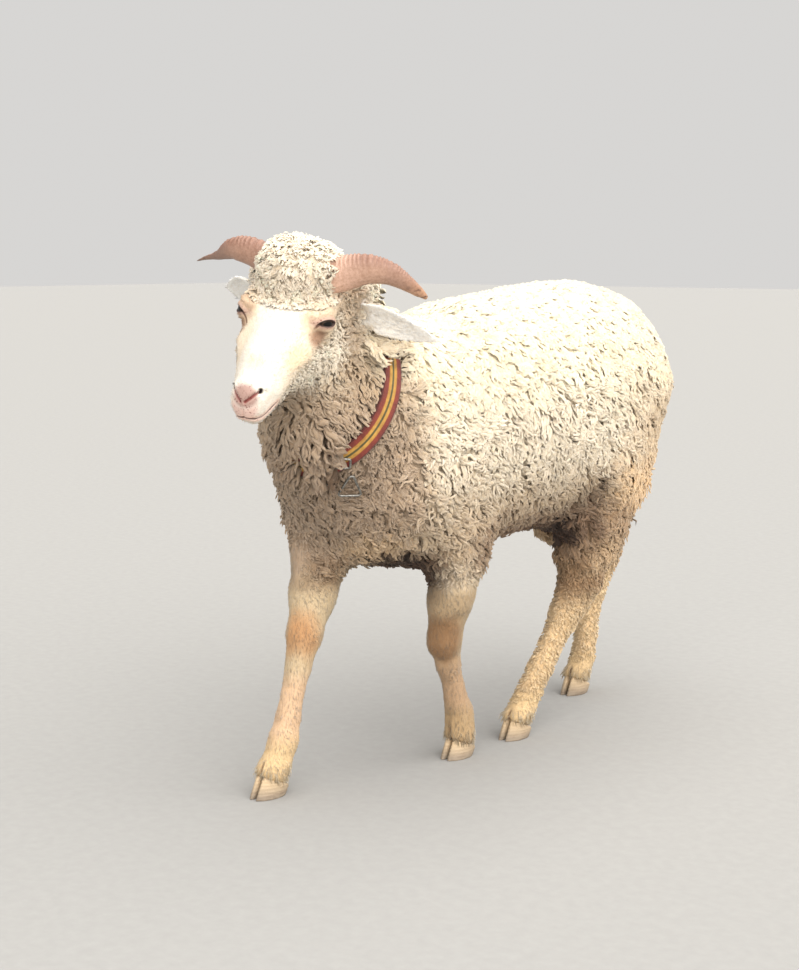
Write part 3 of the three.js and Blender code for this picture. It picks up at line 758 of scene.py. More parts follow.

# Head: white face, cream cap, pink nose, brown lids and a stain below the eye, with painted shade below the
# ear, under the horn, on the tan sides of the face and in the nostrils.
face = np.clip(head, 0, 1)
bridge = away(on_head, (0, -99, -26), (1, 0.6, 1))
side_of_muzzle = away(on_head, (41, -55, -30), (1, 0.7, 1))
sides_of_face = smoothstep(24, 38, np.abs(hx) - 0.06 * hy) * smoothstep(-100, -70, hy) * smoothstep(24, 8, hz)
shadow_below_ear = from_path(on_head, (64, 52, -30), (72, 42, -66), (90, 46, -96))
shade_under_horn = away(on_head, (64, 50, 10))
nose_pad = away(on_head, (0, -136, -56), (0.8, 1, 0.9))
pink = smoothstep(20, 10, nose_pad + 4 * small) * face
muzzle = smoothstep(19, 11, away(on_head, (0, -134, -76), (0.85, 1, 0.9)))
lips = np.minimum(*(from_path(unsunk, *mirrored(sign, MOUTH)) for sign in SIDES.values()))
shade = paint(
    shade,
    ((242, 236, 226), face),
    ((226, 200, 172), smoothstep(16, 4, bridge + 3 * small) * face * 0.5),
    ((228, 198, 160), smoothstep(22, 6, side_of_muzzle + 4 * small) * face * 0.7),
    # tan on the sides of the face, partly its own hair, partly painted shade
    ((236, 214, 182), face * sides_of_face * 0.55),
    ((255, 243, 222), face * smoothstep(-6, 24, hy - cheek_edge) * 0.95),
    ((255, 240, 218), face * cap),
    ((200, 180, 156), face * smoothstep(-70, -110, hz) * smoothstep(-60, -10, hy)),
    # painted shadow under the ear
    ((168, 142, 116), smoothstep(32, 10, shadow_below_ear + 5 * small) * 0.75),
    # painted shade under the horn's base
    ((206, 180, 150), smoothstep(36, 16, shade_under_horn + 5 * small) * 0.7),
    ((255, 255, 253), ear),
    ((164, 124, 111), pink * 0.9),
    ((228, 194, 180), muzzle * face * (1 - pink)),
    ((236, 198, 180), face * smoothstep(9, 3, lips) * 0.7),
    ((84, 50, 42), face * smoothstep(2.2, 0.9, lips)),
)
bare = np.maximum(np.maximum(pink, muzzle), face * smoothstep(5, 2, lips))
for sign in SIDES.values():
    radius, _, rise, ahead, outside, _ = lid_terms(on_head, sign)
    near = (radius < 30) * smoothstep(0, 0.2, ahead)
    tear = from_path(unsunk, *mirrored(sign, TEAR_LINE))
    stain = away(on_head, (sign * 52, -20, -15), (1, 0.8, 1))
    brow = from_path(on_head, *mirrored(sign, BROW))
    nostril = from_path(unsunk, *mirrored(sign, NOSTRIL))
    shade_in_nostril = away(unsunk, np.array(NOSTRIL[-1]) * (sign, 1, 1))
    shade = paint(
        shade,
        ((240, 218, 186), smoothstep(34, 22, radius) * 0.6),
        ((182, 144, 128), near * smoothstep(10, 3, outside) * (rise > 0) * 0.8),
        ((184, 142, 128), near * smoothstep(7, 2, outside) * (rise <= 0) * 0.8),
        ((66, 44, 38), near * smoothstep(1.5, 0.7, outside)),
        ((78, 52, 44), smoothstep(2.6, 1.0, tear) * 0.9),
        ((150, 110, 86), smoothstep(19, 5, stain + 3 * small) * 0.85),
        ((206, 176, 148), smoothstep(11, 4, brow) * (0.8 if sign < 0 else 0.25)),
        ((134, 58, 52), smoothstep(2.6, 1.0, nostril) * 0.9),
        # painted shade in the nostril's opening
        ((30, 14, 13), smoothstep(4.6, 2.8, shade_in_nostril)),
    )
    bare = np.maximum(bare, near * smoothstep(5, 3, outside))
shade = np.clip(shade, 0, 1)
mark(mesh, shade)
store(mesh.attributes.new("naked", "FLOAT", "POINT").data, "value", bare)

WHITE = colour(255, 255, 255)
hide = Recipe("hide_and_short_hair", Roughness=0.75)
tone = hide.reading("markings_and_painted_light")
skin_bare = hide.reading("naked", "Fac")
at = hide.places()
hairs = hide.noise(900.0, hide.places((1, 1, 0.22)), 3, 0.7)
pores = hide.noise(700.0, at, 4, 0.7)
spotted = hide.ramp(hide.noise(420.0, at, 2, 0.5), (0.60, WHITE), (0.66, colour(150, 66, 56)))
dusty = hide.ramp(hide.noise(120.0, at, 5), (0.3, colour(238, 231, 220)), (0.65, WHITE))
strands = hide.ramp(hairs, (0.35, colour(230, 222, 208)), (0.6, WHITE))
furred = hide.mix("MULTIPLY", 0.7, hide.mix("MULTIPLY", 0.6, tone, dusty), strands)
nude = hide.mix("MULTIPLY", 0.85, tone, spotted)
grained = hide.node("Mix", Factor=skin_bare, A=hairs, B=pores).outputs["Result"]
dress(skin, hide.wire(
    Base_Color=hide.mix("MIX", skin_bare, furred, nude),
    Roughness=hide.between(skin_bare, 0.85, 0.45),
    Normal=hide.bump(grained, 0.0008, 0.8),
))
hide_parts(*FLESH)
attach(skin, "root")

# ------------------------------------------------------------------ eyes
# Glass-bright eyeballs set under the lids, dark brown with the level slot of a sheep's pupil. Each is
# a ball with a slightly domed cornea that fills its socket.

EYE_RADIUS = 15 * MM
CORNEA = 0.9 * MM


def lay_out(mesh, name, uv):
    """Gives a mesh a UV map, from one place for each corner."""
    store(mesh.uv_layers.new(name=name).data, "uv", uv)


eyeball = Recipe("eye", Roughness=0.12, IOR=1.34)
look = eyeball.unwrap("look")
slot = eyeball.length(eyeball.scaled(look, (1.0, 2.3, 1.0)))
fibres = eyeball.noise(90.0, look, 4, 0.7)
ring_place = eyeball.math("ADD", eyeball.length(look), eyeball.math("MULTIPLY", fibres, 0.08))
iris = eyeball.ramp(
    ring_place, (0.30, colour(44, 30, 20)), (0.52, colour(58, 40, 26)), (0.66, colour(22, 15, 12)),
    (0.76, colour(84, 62, 52)),
)
pupil = eyeball.ramp(slot, (0.40, (1, 1, 1, 1)), (0.46, (0, 0, 0, 1)))
eye_finish = eyeball.wire(Base_Color=eyeball.mix("MIX", pupil, iris, colour(10, 8, 8)))

for side, sign in SIDES.items():
    bpy.ops.object.select_all(action="DESELECT")
    bpy.ops.mesh.primitive_uv_sphere_add(segments=64, ring_count=32, radius=EYE_RADIUS)
    eye = bpy.context.active_object
    eye.name = "eyeball_" + side
    gaze, front, up = (np.array(axis) for axis in eye_axes(sign))
    way = vertices_of(eye.data) / EYE_RADIUS
    dome = EYE_RADIUS + CORNEA * smoothstep(0.72, 0.95, way @ gaze)
    move_vertices(eye.data, in_room(way * dome[:, None] / MM + eye_middle(sign)))
    behind = np.where(way @ gaze > 0, 1, 3)
    flat = np.stack([way @ front, way @ up], 1) * behind[:, None]
    lay_out(eye.data, "look", flat[corners_of(eye.data)])
    bpy.ops.object.shade_smooth()
    dress(eye, eye_finish)
    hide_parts("eye_" + side)
    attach(eye, "root")

# ------------------------------------------------------------------ horns
# Two hollow horn sheaths on bony cores, growing out of the cap. Close ridges cross the upper edge and
# fade towards the side below and the tip, which are worn smooth.

HORN_LENGTH = 101
HORN_STATIONS = np.array((-0.2, 0, 0.3, 0.56, 0.82, 1))
HORN_RISES = {"left": (-7, 0, 9, 5, -13, -30), "right": (0, 8, 7, -9, -21, -32)}
RIDGE_HEIGHT = 1.15
RIDGE_PITCH = 6.4
PITCH_LOST = 2.0

sheath = Recipe("horn_sheath", Roughness=0.42, Coat_Weight=0.15, Coat_Roughness=0.25)
growth = sheath.unwrap("growth")
streaks = sheath.noise(9.0, sheath.scaled(growth, (6.0, 60.0, 1.0)), 5, 0.65)
flecks = sheath.noise(260.0, sheath.places())
worn = sheath.ramp(streaks, (0.3, colour(196, 176, 160)), (0.62, WHITE))
streaked = sheath.mix("MULTIPLY", 0.75, sheath.reading("markings_and_painted_light"), worn)
flecked = sheath.ramp(flecks, (0.35, colour(205, 190, 176)), (0.6, WHITE))
fine = sheath.noise(2.0, sheath.scaled(growth, (150.0, 3.0, 1.0)), 3, 0.5)
horn_finish = sheath.wire(
    Base_Color=sheath.mix("MULTIPLY", 0.5, streaked, flecked),
    Roughness=sheath.between(flecks, 0.3, 0.6),
    Normal=sheath.bump(fine, 0.0006, 0.6),
)

for side, sign in SIDES.items():
    horn = welded_copy("horn_" + side, "horn_sheath_" + side)
    apply_modifier(horn, "REMESH", mode="VOXEL", voxel_size=0.9 * MM)
    smooth_shape(horn.data, 40, 0.5)
    out = np.linspace(HORN_STATIONS[0], 1, 81)
    spine = np.stack([
        sign * (63 + out * HORN_LENGTH),
        40 + out * np.abs(out) * 35,
        54 + np.interp(out, HORN_STATIONS, HORN_RISES[side]),
    ], 1)
    for _ in range(6):
        spine[1:-1] = (spine[:-2] + spine[1:-1] * 2 + spine[2:]) / 4
    at = in_head(vertices_of(horn.data))
    nearest = np.array([int(((spine - p) ** 2).sum(1).argmin()) for p in at])
    length = np.concatenate([[0], np.cumsum(np.linalg.norm(np.diff(spine, axis=0), axis=1))])
    along_way = np.gradient(spine, axis=0)
    along_way /= np.linalg.norm(along_way, axis=1)[:, None]
    offset = at - spine[nearest]
    travelled = length[nearest] + (offset * along_way[nearest]).sum(1)
    share = travelled / length[-1]
    outwards = normals_of(horn.data) @ head_axes
    faces_up = outwards[:, 2]
    edge = smoothstep(0.2, 0.85, faces_up) * smoothstep(1.0, 0.62, share) * smoothstep(0.02, 0.12, share)
    wobble = patches(at, 12, 5) * 1.2
    turns_of_ridge = np.pi * (travelled + wobble) / (RIDGE_PITCH - PITCH_LOST * share)
    ridge = 1 - np.abs(np.sin(turns_of_ridge)) ** 0.7 * 1.3
    grown = RIDGE_HEIGHT * ridge * edge + 0.06 * np.sin(travelled * 2.1 + wobble) + 0.35 * patches(at, 9, 6)
    at = at + outwards * grown[:, None]
    slim = 0.22 * smoothstep(0.5, 1, share) if side == "left" else 0.6 * smoothstep(0.28, 0.75, share)
    at = at - offset * slim[:, None]
    move_vertices(horn.data, in_room(at))
    streak = smoothstep(0.1, 0.35, patches(at * (0.35, 1, 1), 3.5, 8)) * smoothstep(0.6, 0.95, share)
    tint = paint(
        np.tile(linear(190, 154, 134), (len(at), 1)),
        ((160, 116, 98), smoothstep(0.1, 0.9, faces_up) * 0.7),
        # painted highlight along the lower side
        ((216, 178, 156), smoothstep(0.35, -0.1, faces_up) * 0.6),
        # painted shade under the horn
        ((142, 100, 82), smoothstep(-0.55, -0.85, faces_up) * 0.7),
        ((206, 160, 124), smoothstep(0.6, 0.95, share) * 0.7),
        ((120, 84, 66), smoothstep(0.1, -0.5, ridge) * edge * 0.7),
        ((84, 54, 42), streak * 0.8),
    )
    dull_middle = smoothstep(0.45, 0.6, share) * smoothstep(0.95, 0.75, share)
    own_tones = {
        "left": (
            ((244, 206, 186), smoothstep(0.4, 0.08, share) * 0.7),
            ((156, 120, 104), dull_middle * 0.4),
        ),
        "right": (
            ((150, 112, 96), np.full(len(at), 0.4)),
            ((104, 80, 70), smoothstep(0.3, 0.6, share) * 0.5),
        ),
    }
    mark(horn.data, paint(tint, *own_tones[side]))
    turned_by = np.abs(np.arctan2(offset[:, 2], offset[:, 1]) / math.tau)
    lay_out(horn.data, "growth", np.stack([share, turned_by], 1)[corners_of(horn.data)])
    select_only(horn)
    bpy.ops.object.shade_smooth()
    dress(horn, horn_finish)
    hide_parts("horn_" + side)
    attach(horn, "root")

# ------------------------------------------------------------------ claws
# Each foot ends in a pair of claws, hard horn shoes that are flat below and parted by a cleft. They
# grow down from the coronet in fine bands and are scuffed and dusty.

BAND_HEIGHT = 0.75 * MM
BAND_RELIEF = 0.3 * MM
SOLE = 0.8 * MM

shoe = Recipe("claw_horn", Roughness=0.6)
at = shoe.places()
bands = shoe.noise(1.0, shoe.places((40, 40, 260)))
dust = shoe.noise(90.0, at, 5, 0.65)
claw_tone = shoe.ramp(
    bands, (0.3, colour(118, 102, 86)), (0.5, colour(140, 124, 106)), (0.7, colour(154, 138, 118))
)
dustiness = shoe.ramp(dust, (0.45, (0, 0, 0, 1)), (0.7, (0.6, 0.6, 0.6, 1)))
dusty_claw = shoe.mix("MIX", dustiness, claw_tone, colour(150, 136, 118))
height = shoe.node("SeparateXYZ", Vector=at).outputs["Z"]
fresh = shoe.node("MapRange", Value=height, From_Min=0.004, From_Max=0.026).outputs["Result"]
claw_finish = shoe.wire(
    Base_Color=shoe.mix("MIX", fresh, dusty_claw, colour(204, 178, 142)),
    Roughness=shoe.between(dust, 0.45, 0.85),
    Normal=shoe.bump(bands, 0.0008, 0.7),
)
for leg in LEGS:
    pair = [welded_copy(f"{leg}_claw_{toe}", f"claws_{leg}") for toe in ("outer", "inner")]
    select_only(*pair)
    bpy.ops.object.join()
    claws = bpy.context.active_object
    apply_modifier(claws, "REMESH", mode="VOXEL", voxel_size=1.5 * MM)
    smooth_shape(claws.data, 7, 0.5)
    at = vertices_of(claws.data)
    banding = BAND_RELIEF * np.sin(at[:, 2] / BAND_HEIGHT) * smoothstep(1, 4, at[:, 2] / MM)
    at += normals_of(claws.data) * banding[:, None]
    at[:, 2] = np.where(at[:, 2] < SOLE, 0, at[:, 2])
    move_vertices(claws.data, at)
    select_only(claws)
    bpy.ops.object.shade_smooth()
    dress(claws, claw_finish)
    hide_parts(leg + "_claw_outer", leg + "_claw_inner")
    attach(claws, "root")

# ------------------------------------------------------------------ collar
# A band of woven webbing round the neck, rust red with two yellow stripes and an olive thread down
# the middle. A wire buckle, a round ring and a triangle ring hang from it at the chest.

COLLAR_MIDDLE = zero + Vector((12, 84, 575)) * MM
COLLAR_FACING = Vector((0.24, -0.88, 0.4)).normalized()
COLLAR_ACROSS = (Vector((1, 0, 0)) - COLLAR_FACING * COLLAR_FACING.x).normalized()
COLLAR_UP = COLLAR_FACING.cross(COLLAR_ACROSS)
COLLAR_HALF_WIDTH = 12.5 * MM
COLLAR_GATHER = 13 * MM
NECK_RADIUS = 100


def round_collar(points):
    """The turn round the collar, the distance out from its middle and the place across its width."""
    way = points - np.array(COLLAR_MIDDLE)
    right, high = way @ np.array(COLLAR_ACROSS), way @ np.array(COLLAR_UP)
    out = np.hypot(right, high)
    gathered = COLLAR_GATHER * np.maximum(0, -high / np.maximum(out, 1e-6)) ** 2
    return np.arctan2(high, right), out, way @ np.array(COLLAR_FACING) - gathered


def turn_from(turns, start):
    """How far round turns are from a start, the short way."""
    return np.arctan2(np.sin(turns - start), np.cos(turns - start))


strap = welded_copy("collar_strap", "collar_webbing")
select_only(strap)
bpy.ops.object.mode_set(mode="EDIT")
bpy.ops.mesh.select_all(action="SELECT")
bpy.ops.mesh.tris_convert_to_quads(face_threshold=math.pi, shape_threshold=math.pi)
bpy.ops.object.mode_set(mode="OBJECT")
strap_turns, strap_out, _ = round_collar(vertices_of(strap.data))

# The edges that run round the collar keep the band's corners crisp.
CREASE = 0.9
RUNS_ROUND = 0.1
creases = strap.data.attributes.new("crease_edge", "FLOAT", "EDGE")
for edge in strap.data.edges:
    a, b = edge.vertices
    apart = abs(math.remainder(strap_turns[a] - strap_turns[b], math.tau))
    creases.data[edge.index].value = CREASE if apart > RUNS_ROUND else 0.0
apply_modifier(strap, "SUBSURF", levels=3, render_levels=3)
turns, _, across = round_collar(vertices_of(strap.data))
corners = corners_of(strap.data)
starts = face_starts_of(strap.data)
first = np.repeat(turns[corners[starts]], np.diff(np.append(starts, len(corners))))
flat_turn = first + turn_from(turns[corners], first)
lay_out(strap.data, "weave", np.stack([flat_turn * NECK_RADIUS, across[corners] / COLLAR_HALF_WIDTH], 1))

webbing = Recipe("webbing", Roughness=0.8, Sheen_Weight=0.2)
cloth = webbing.unwrap("weave")
across_band = webbing.math("ABSOLUTE", webbing.node("SeparateXYZ", Vector=cloth).outputs["Y"], 0)
fray = webbing.math("MULTIPLY", webbing.noise(0.5, cloth, 3), 0.08)
stripes = webbing.ramp(
    webbing.math("ADD", across_band, fray),
    (0.0, colour(84, 78, 40)), (0.13, colour(92, 84, 40)),
    (0.17, colour(206, 158, 72)), (0.44, colour(198, 146, 58)),
    (0.50, colour(140, 52, 32)), (0.92, colour(124, 42, 26)), (1.0, colour(84, 28, 20)),
)
threads = webbing.node("TexWave", {"wave_type": "BANDS", "bands_direction": "X"}, Vector=cloth, Scale=0.32)
ribs = webbing.node("TexWave", {"wave_type": "BANDS", "bands_direction": "Y"}, Vector=cloth, Scale=2.6)
woven = webbing.math("MULTIPLY", threads.outputs["Fac"], ribs.outputs["Fac"])
soil = webbing.noise(80.0, webbing.places(), 5, 0.65)
soiled = webbing.ramp(soil, (0.35, colour(190, 176, 160)), (0.62, WHITE))
dress(strap, webbing.wire(
    Base_Color=webbing.mix("MULTIPLY", 0.8, stripes, soiled),
    Normal=webbing.bump(woven, 0.0006, 0.9),
))
select_only(strap)
bpy.ops.object.shade_smooth_by_angle(angle=math.radians(50))
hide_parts("collar_strap")
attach(strap, "root")

steel = Recipe("worn_steel", Metallic=1.0, Roughness=0.35)
scuffs = steel.noise(400.0, steel.places(), 5, 0.7)
steel_finish = steel.wire(
    Base_Color=steel.ramp(scuffs, (0.35, colour(84, 80, 74)), (0.6, colour(168, 166, 160))),
    Roughness=steel.between(scuffs, 0.25, 0.6),
    Normal=steel.bump(scuffs, 0.0003, 0.4),
)
for fitting in ("triangle_ring", "round_ring", "buckle"):
    wire = welded_copy("collar_" + fitting, "wire_" + fitting)
    apply_modifier(wire, "SUBSURF", levels=2, render_levels=2)
    apply_modifier(wire, "DISPLACE", strength=0.25 * MM, mid_level=0)
    select_only(wire)
    bpy.ops.object.shade_smooth()
    dress(wire, steel_finish)
    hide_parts("collar_" + fitting)
    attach(wire, "root")

# ------------------------------------------------------------------ fleece
# Wool grows in staples, bundles of crimped locks that lean together to a common tip. Every lock is a
# thin three-sided strand rooted in the hide, and it hangs and sweeps back with the lie of the coat.

CORNERS = 3
UV_PATCH = 0.003
CELL = 1.22
HASH = np.array((73856093, 19349663, 83492791))
ROOT_DEPTH = 1.5 * MM
UNDER_STRAP = 1.8 * MM
CHEST_TURN = -2.1
EAR_TURN = 1.02
TONE_SPREAD = 0.05

# The roots of locks are darker and warmer than their tips: partly the greasy wool near the hide, partly
# painted shade that falls between the locks.
ROOT_SHADE_WARMTH = np.array((1.0, 0.86, 0.70))

# A lock of fine fibres takes light more like the coat as a whole than like a smooth cord.
SOFTNESS = 1.7

mesh.calc_loop_triangles()
tri_vertices = values_of(mesh.loop_triangles, "vertices", 3, np.int32)
tri_corners = values_of(mesh.loop_triangles, "loops", 3, np.int32)
unwrap = values_of(mesh.uv_layers["OFBake"].data, "uv", 2)
hide_at = vertices_of(mesh)
hide_out = normals_of(mesh)
tri_at = hide_at[tri_vertices]
tri_area = np.linalg.norm(np.cross(tri_at[:, 1] - tri_at[:, 0], tri_at[:, 2] - tri_at[:, 0]), axis=1) / 2


def unit(v):
    return v / np.maximum(np.linalg.norm(v, axis=-1, keepdims=True), 1e-9)


def head_way(x, y, z):
    """A way in the head's frame, as seen in the room."""
    return head_axes @ np.array((x, y, z), float)


def everywhere(way):
    return np.tile(way, (len(hide_at), 1))


# The lie of the coat at every vertex of the hide.
top = smoothstep(0.55, 0.95, hide_out[:, 2])
lie = everywhere((0.0, 0.32, -0.95))
lie += top[:, None] * np.stack([np.sign(place[:, 0]) * 0.8, np.full(len(top), 0.5), np.zeros(len(top))], 1)
lie = blend(lie, everywhere((0.0, 0.08, -1.0)), np.clip(foreleg + hindleg, 0, 1))
back_along_face = everywhere(head_way(0, 1, 0.25)) + np.sign(hx)[:, None] * head_way(0.25, 0, 0)
lie = blend(lie, back_along_face, head)
lie = blend(lie, everywhere(head_way(0, 0.5, -0.85)), head * cheek)
from_crown = unit((on_head - (4, 44, 100)) * (1, 1, 0.8)) @ head_axes.T
lie = blend(lie, from_crown, head * cap)
ear_tip = np.where((hx > 0)[:, None], head_way(0.92, 0.27, -0.28), head_way(-0.74, 0.64, -0.2))
lie = blend(lie, ear_tip, ear)
lie = unit(lie - hide_out * (lie * hide_out).sum(1)[:, None])
depth_m = depth * MM


def one_per_cell(points, spacing):
    """The number of one point in each cell of a grid a little wider than the spacing."""
    cell = np.floor(points / (spacing * CELL * MM)).astype(np.int64)
    return np.unique(np.bitwise_xor.reduce(cell * HASH, axis=1), return_index=True)[1]


class Roots:
    """Places on the hide where the coat grows, spread about evenly."""

    def __init__(self, allowed, spacing, seed):
        rng = np.random.default_rng(seed)
        chance = tri_area * allowed[tri_vertices].mean(1)
        count = int(chance.sum() / (spacing * MM) ** 2 * 3)
        tri = np.searchsorted(np.cumsum(chance), rng.random(count) * chance.sum())
        tri = np.minimum(tri, len(chance) - 1)
        r, s = np.sqrt(rng.random(count)), rng.random(count)
        share = np.stack([1 - r, r * (1 - s), r * s], 1)
        at = (tri_at[tri] * share[:, :, None]).sum(1)
        kept = np.sort(one_per_cell(at, spacing))
        self.tri, self.share, self.at = tri[kept], share[kept], at[kept]
        self.corners = tri_vertices[self.tri]
        self.out = unit(self.take(hide_out))
        self.lie = unit(self.take(lie))
        self.uv = (unwrap[tri_corners[self.tri]] * self.share[:, :, None]).sum(1)

    def __len__(self):
        return len(self.at)

    def take(self, values):
        """A vertex value of the hide, at the roots."""
        picked = values[self.corners]
        share = self.share if picked.ndim == 2 else self.share[:, :, None]
        return (picked * share).sum(1)

    def some(self, chosen):
        """Part of the roots."""
        part = Roots.__new__(Roots)
        for name, values in vars(self).items():
            setattr(part, name, values[chosen])
        return part


def turned(ways, about, angle):
    """Ways that lie square to `about`, turned round it."""
    return ways * np.cos(angle)[:, None] + np.cross(about, ways) * np.sin(angle)[:, None]


# How far out the inside of the webbing lies, step by step round the collar.
STEPS_ROUND = 32
OVERLAP = 0.12
step_ends = np.linspace(-math.pi, math.pi, STEPS_ROUND + 1)
step_middles = (step_ends[:-1] + step_ends[1:]) / 2
strap_inner = np.array([
    strap_out[(strap_turns >= a - OVERLAP) & (strap_turns < b + OVERLAP)].min()
    for a, b in zip(step_ends, step_ends[1:])
])


def wool_over_strap(turns):
    """1 where wool falls over the webbing: at the right of the chest and below the left ear."""
    chest = smoothstep(0.98, 0.84, np.abs(turn_from(turns, CHEST_TURN)))
    return np.maximum(chest, smoothstep(0.62, 0.5, np.abs(turn_from(turns, EAR_TURN))))


def press_under_strap(points):
    """Holds the coat below the webbing, except at its front edge and where wool falls over it."""
    turns, out, across = round_collar(points)
    limit = np.interp(turns, step_middles, strap_inner, period=math.tau) - UNDER_STRAP
    front_edge = smoothstep(COLLAR_HALF_WIDTH, COLLAR_HALF_WIDTH - 4 * MM, across)
    back_edge = smoothstep(COLLAR_HALF_WIDTH + 7 * MM, COLLAR_HALF_WIDTH - 1 * MM, -across)
    under = np.minimum(front_edge, back_edge) * (1 - wool_over_strap(turns))
    excess = np.maximum(out - limit, 0) * under
    inward = points - np.array(COLLAR_MIDDLE)
    inward -= (inward @ np.array(COLLAR_FACING))[:, None] * np.array(COLLAR_FACING)
    return points - unit(inward) * excess[:, None]


def lock_faces(rings):
    """The faces of one lock, as vertex numbers, and where each corner lies round and along it."""
    faces, places = [], []
    for r in range(rings - 1):
        for c in range(CORNERS):
            n = (c + 1) % CORNERS
            faces.append((r * CORNERS + n, r * CORNERS + c, (r + 1) * CORNERS + c, (r + 1) * CORNERS + n))
            places.append(((c + 1, r), (c, r), (c, r + 1), (c + 1, r + 1)))
    last = (rings - 1) * CORNERS
    for c in range(CORNERS):
        faces.append((last + (c + 1) % CORNERS, last + c, last + CORNERS))
        places.append(((c + 1, rings - 1), (c, rings - 1), (c + 0.5, rings)))
    faces.append((0, 1, 2))
    places.append(((0, 0), (1, 0), (2, 0)))
    return faces, np.array([spot for face in places for spot in face], float)


def grow(name, roots, material, rings, spread, under_strap=False, **look):
    """Grows a lock from each root, all in one mesh. The look's lengths are in metres, one for each lock."""
    count = len(roots)
    length, rise, width, crimp = (look[k] for k in ("length", "rise", "width", "crimp"))
    t = np.linspace(0, 1, rings + 1)
    side_way = np.cross(roots.out, roots.lie)
    swing = np.clip(t * 2.5, 0, 1)
    angle = math.tau * look["waves"][:, None] * t + look["phase"][:, None]
    up = (1 - (1 - t) ** 2.4) * rise[:, None] - ROOT_DEPTH * (1 - t)
    up = up + 0.6 * crimp[:, None] * swing * np.cos(angle)
    line = (
        roots.at[:, None]
        + roots.out[:, None] * up[..., None]
        + roots.lie[:, None] * (t ** 1.15 * length[:, None])[..., None]
        + side_way[:, None] * (crimp[:, None] * swing * np.sin(angle))[..., None]
        + look["gather"][:, None] * (t ** 1.2)[None, :, None]
    )
    along = unit(np.gradient(line, axis=1))
    flat_way = unit(np.cross(along, roots.out[:, None]))
    high_way = np.cross(flat_way, along)
    profile = np.interp(t, *spread)
    half = (profile * width[:, None] / 2)[..., None][:, :-1]
    flat_way, high_way = flat_way[:, :-1], high_way[:, :-1]
    shapes = [
        line[:, :-1] - flat_way * half - high_way * half * 0.4,
        line[:, :-1] + flat_way * half - high_way * half * 0.4,
        line[:, :-1] + high_way * half * 0.7,
    ]
    facing = np.stack([-flat_way - high_way * 0.5, flat_way - high_way * 0.5, high_way], 2)
    facing = np.concatenate([unit(facing.reshape(count, -1, 3)), roots.out[:, None]], 1)
    facing = unit(facing + roots.out[:, None] * (SOFTNESS * look["soft"])[:, None, None])
    sides = np.stack(shapes, 2).reshape(count, rings * CORNERS, 3)
    points = np.concatenate([sides, line[:, -1:]], 1).reshape(-1, 3)
    if under_strap:
        points = press_under_strap(points)

    faces, places = lock_faces(rings)
    lock_corners = np.array([vertex for face in faces for vertex in face])
    first_of_lock = np.arange(count)[:, None] * (rings * CORNERS + 1)
    corners = (first_of_lock + lock_corners).ravel().astype(np.int32)
    totals = np.tile([len(face) for face in faces], count).astype(np.int32)
    made = bpy.data.meshes.new(name)
    made.vertices.add(len(points))
    store(made.vertices, "co", points)
    made.loops.add(len(corners))
    made.loops.foreach_set("vertex_index", corners)
    made.polygons.add(len(totals))
    made.polygons.foreach_set("loop_start", np.concatenate([[0], np.cumsum(totals)[:-1]]).astype(np.int32))
    made.polygons.foreach_set("loop_total", totals)
    made.update(calc_edges=True)
    made.polygons.foreach_set("use_smooth", np.ones(len(totals), bool))
    made.normals_split_custom_set_from_vertices(facing.reshape(-1, 3))
    lay_out(made, "OFBake", roots.uv[:, None] + (places / (CORNERS, rings) - 0.5)[None] * UV_PATCH)
    around = places[:, 0] * width[:, None] / MM + look["phase"][:, None] * 7
    lengthways = places[:, 1] / rings * length[:, None] / MM
    lay_out(made, "strand", np.stack([around, lengthways], -1))
    base = roots.take(shade) * look["light"][:, None]
    fade = (1 - (1 - look["dark"])[:, None] * (1 - t) ** 1.3)[..., None]
    tone = base[:, None] * (fade + (1 - fade) * (ROOT_SHADE_WARMTH - 1) * 0.5)
    tint = np.concatenate([np.repeat(tone[:, :-1], CORNERS, axis=1), tone[:, -1:]], 1)
    mark(made, np.clip(tint.reshape(-1, 3), 0, 1))
    piece = bpy.data.objects.new(name, made)
    bpy.context.scene.collection.objects.link(piece)
    dress(piece, material)
    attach(piece, "root")


def coat_material(name, roughness, sheen_weight, through=0.6):
    """Wool or hair: fibres along each lock, a little dust, and light that passes through."""
    wool = Recipe(
        name, Roughness=roughness, Sheen_Weight=sheen_weight, Sheen_Roughness=0.5,
        Sheen_Tint=colour(255, 246, 230), Subsurface_Weight=through,
        Subsurface_Radius=(1.0, 0.88, 0.66), Subsurface_Scale=0.012,
    )
    fibres = wool.noise(1.0, wool.scaled(wool.unwrap("strand"), (3.0, 0.18, 1.0)), 4, 0.65)
    streaks = wool.ramp(fibres, (0.3, colour(238, 228, 212)), (0.6, WHITE))
    grit = wool.noise(160.0, wool.places(), 5, 0.65)
    dust = wool.ramp(grit, (0.3, colour(236, 222, 202)), (0.55, WHITE))
    streaked = wool.mix("MULTIPLY", 0.8, wool.reading("markings_and_painted_light"), streaks)
    dusted = wool.mix("MULTIPLY", 0.6, streaked, dust)
    return wool.wire(Base_Color=dusted, Normal=wool.bump(fibres, 0.0006, 0.8))


wool_finish = coat_material("wool", 0.85, 0.1, 0.25)


def nearest_staple(roots, spacing):
    """For each root the number of its staple, and each staple's own root."""
    chosen = one_per_cell(roots.at, spacing)
    tree = KDTree(len(chosen))
    for n, index in enumerate(chosen):
        tree.insert(roots.at[index], n)
    tree.balance()
    return np.array([tree.find(p)[1] for p in roots.at.tolist()]), chosen


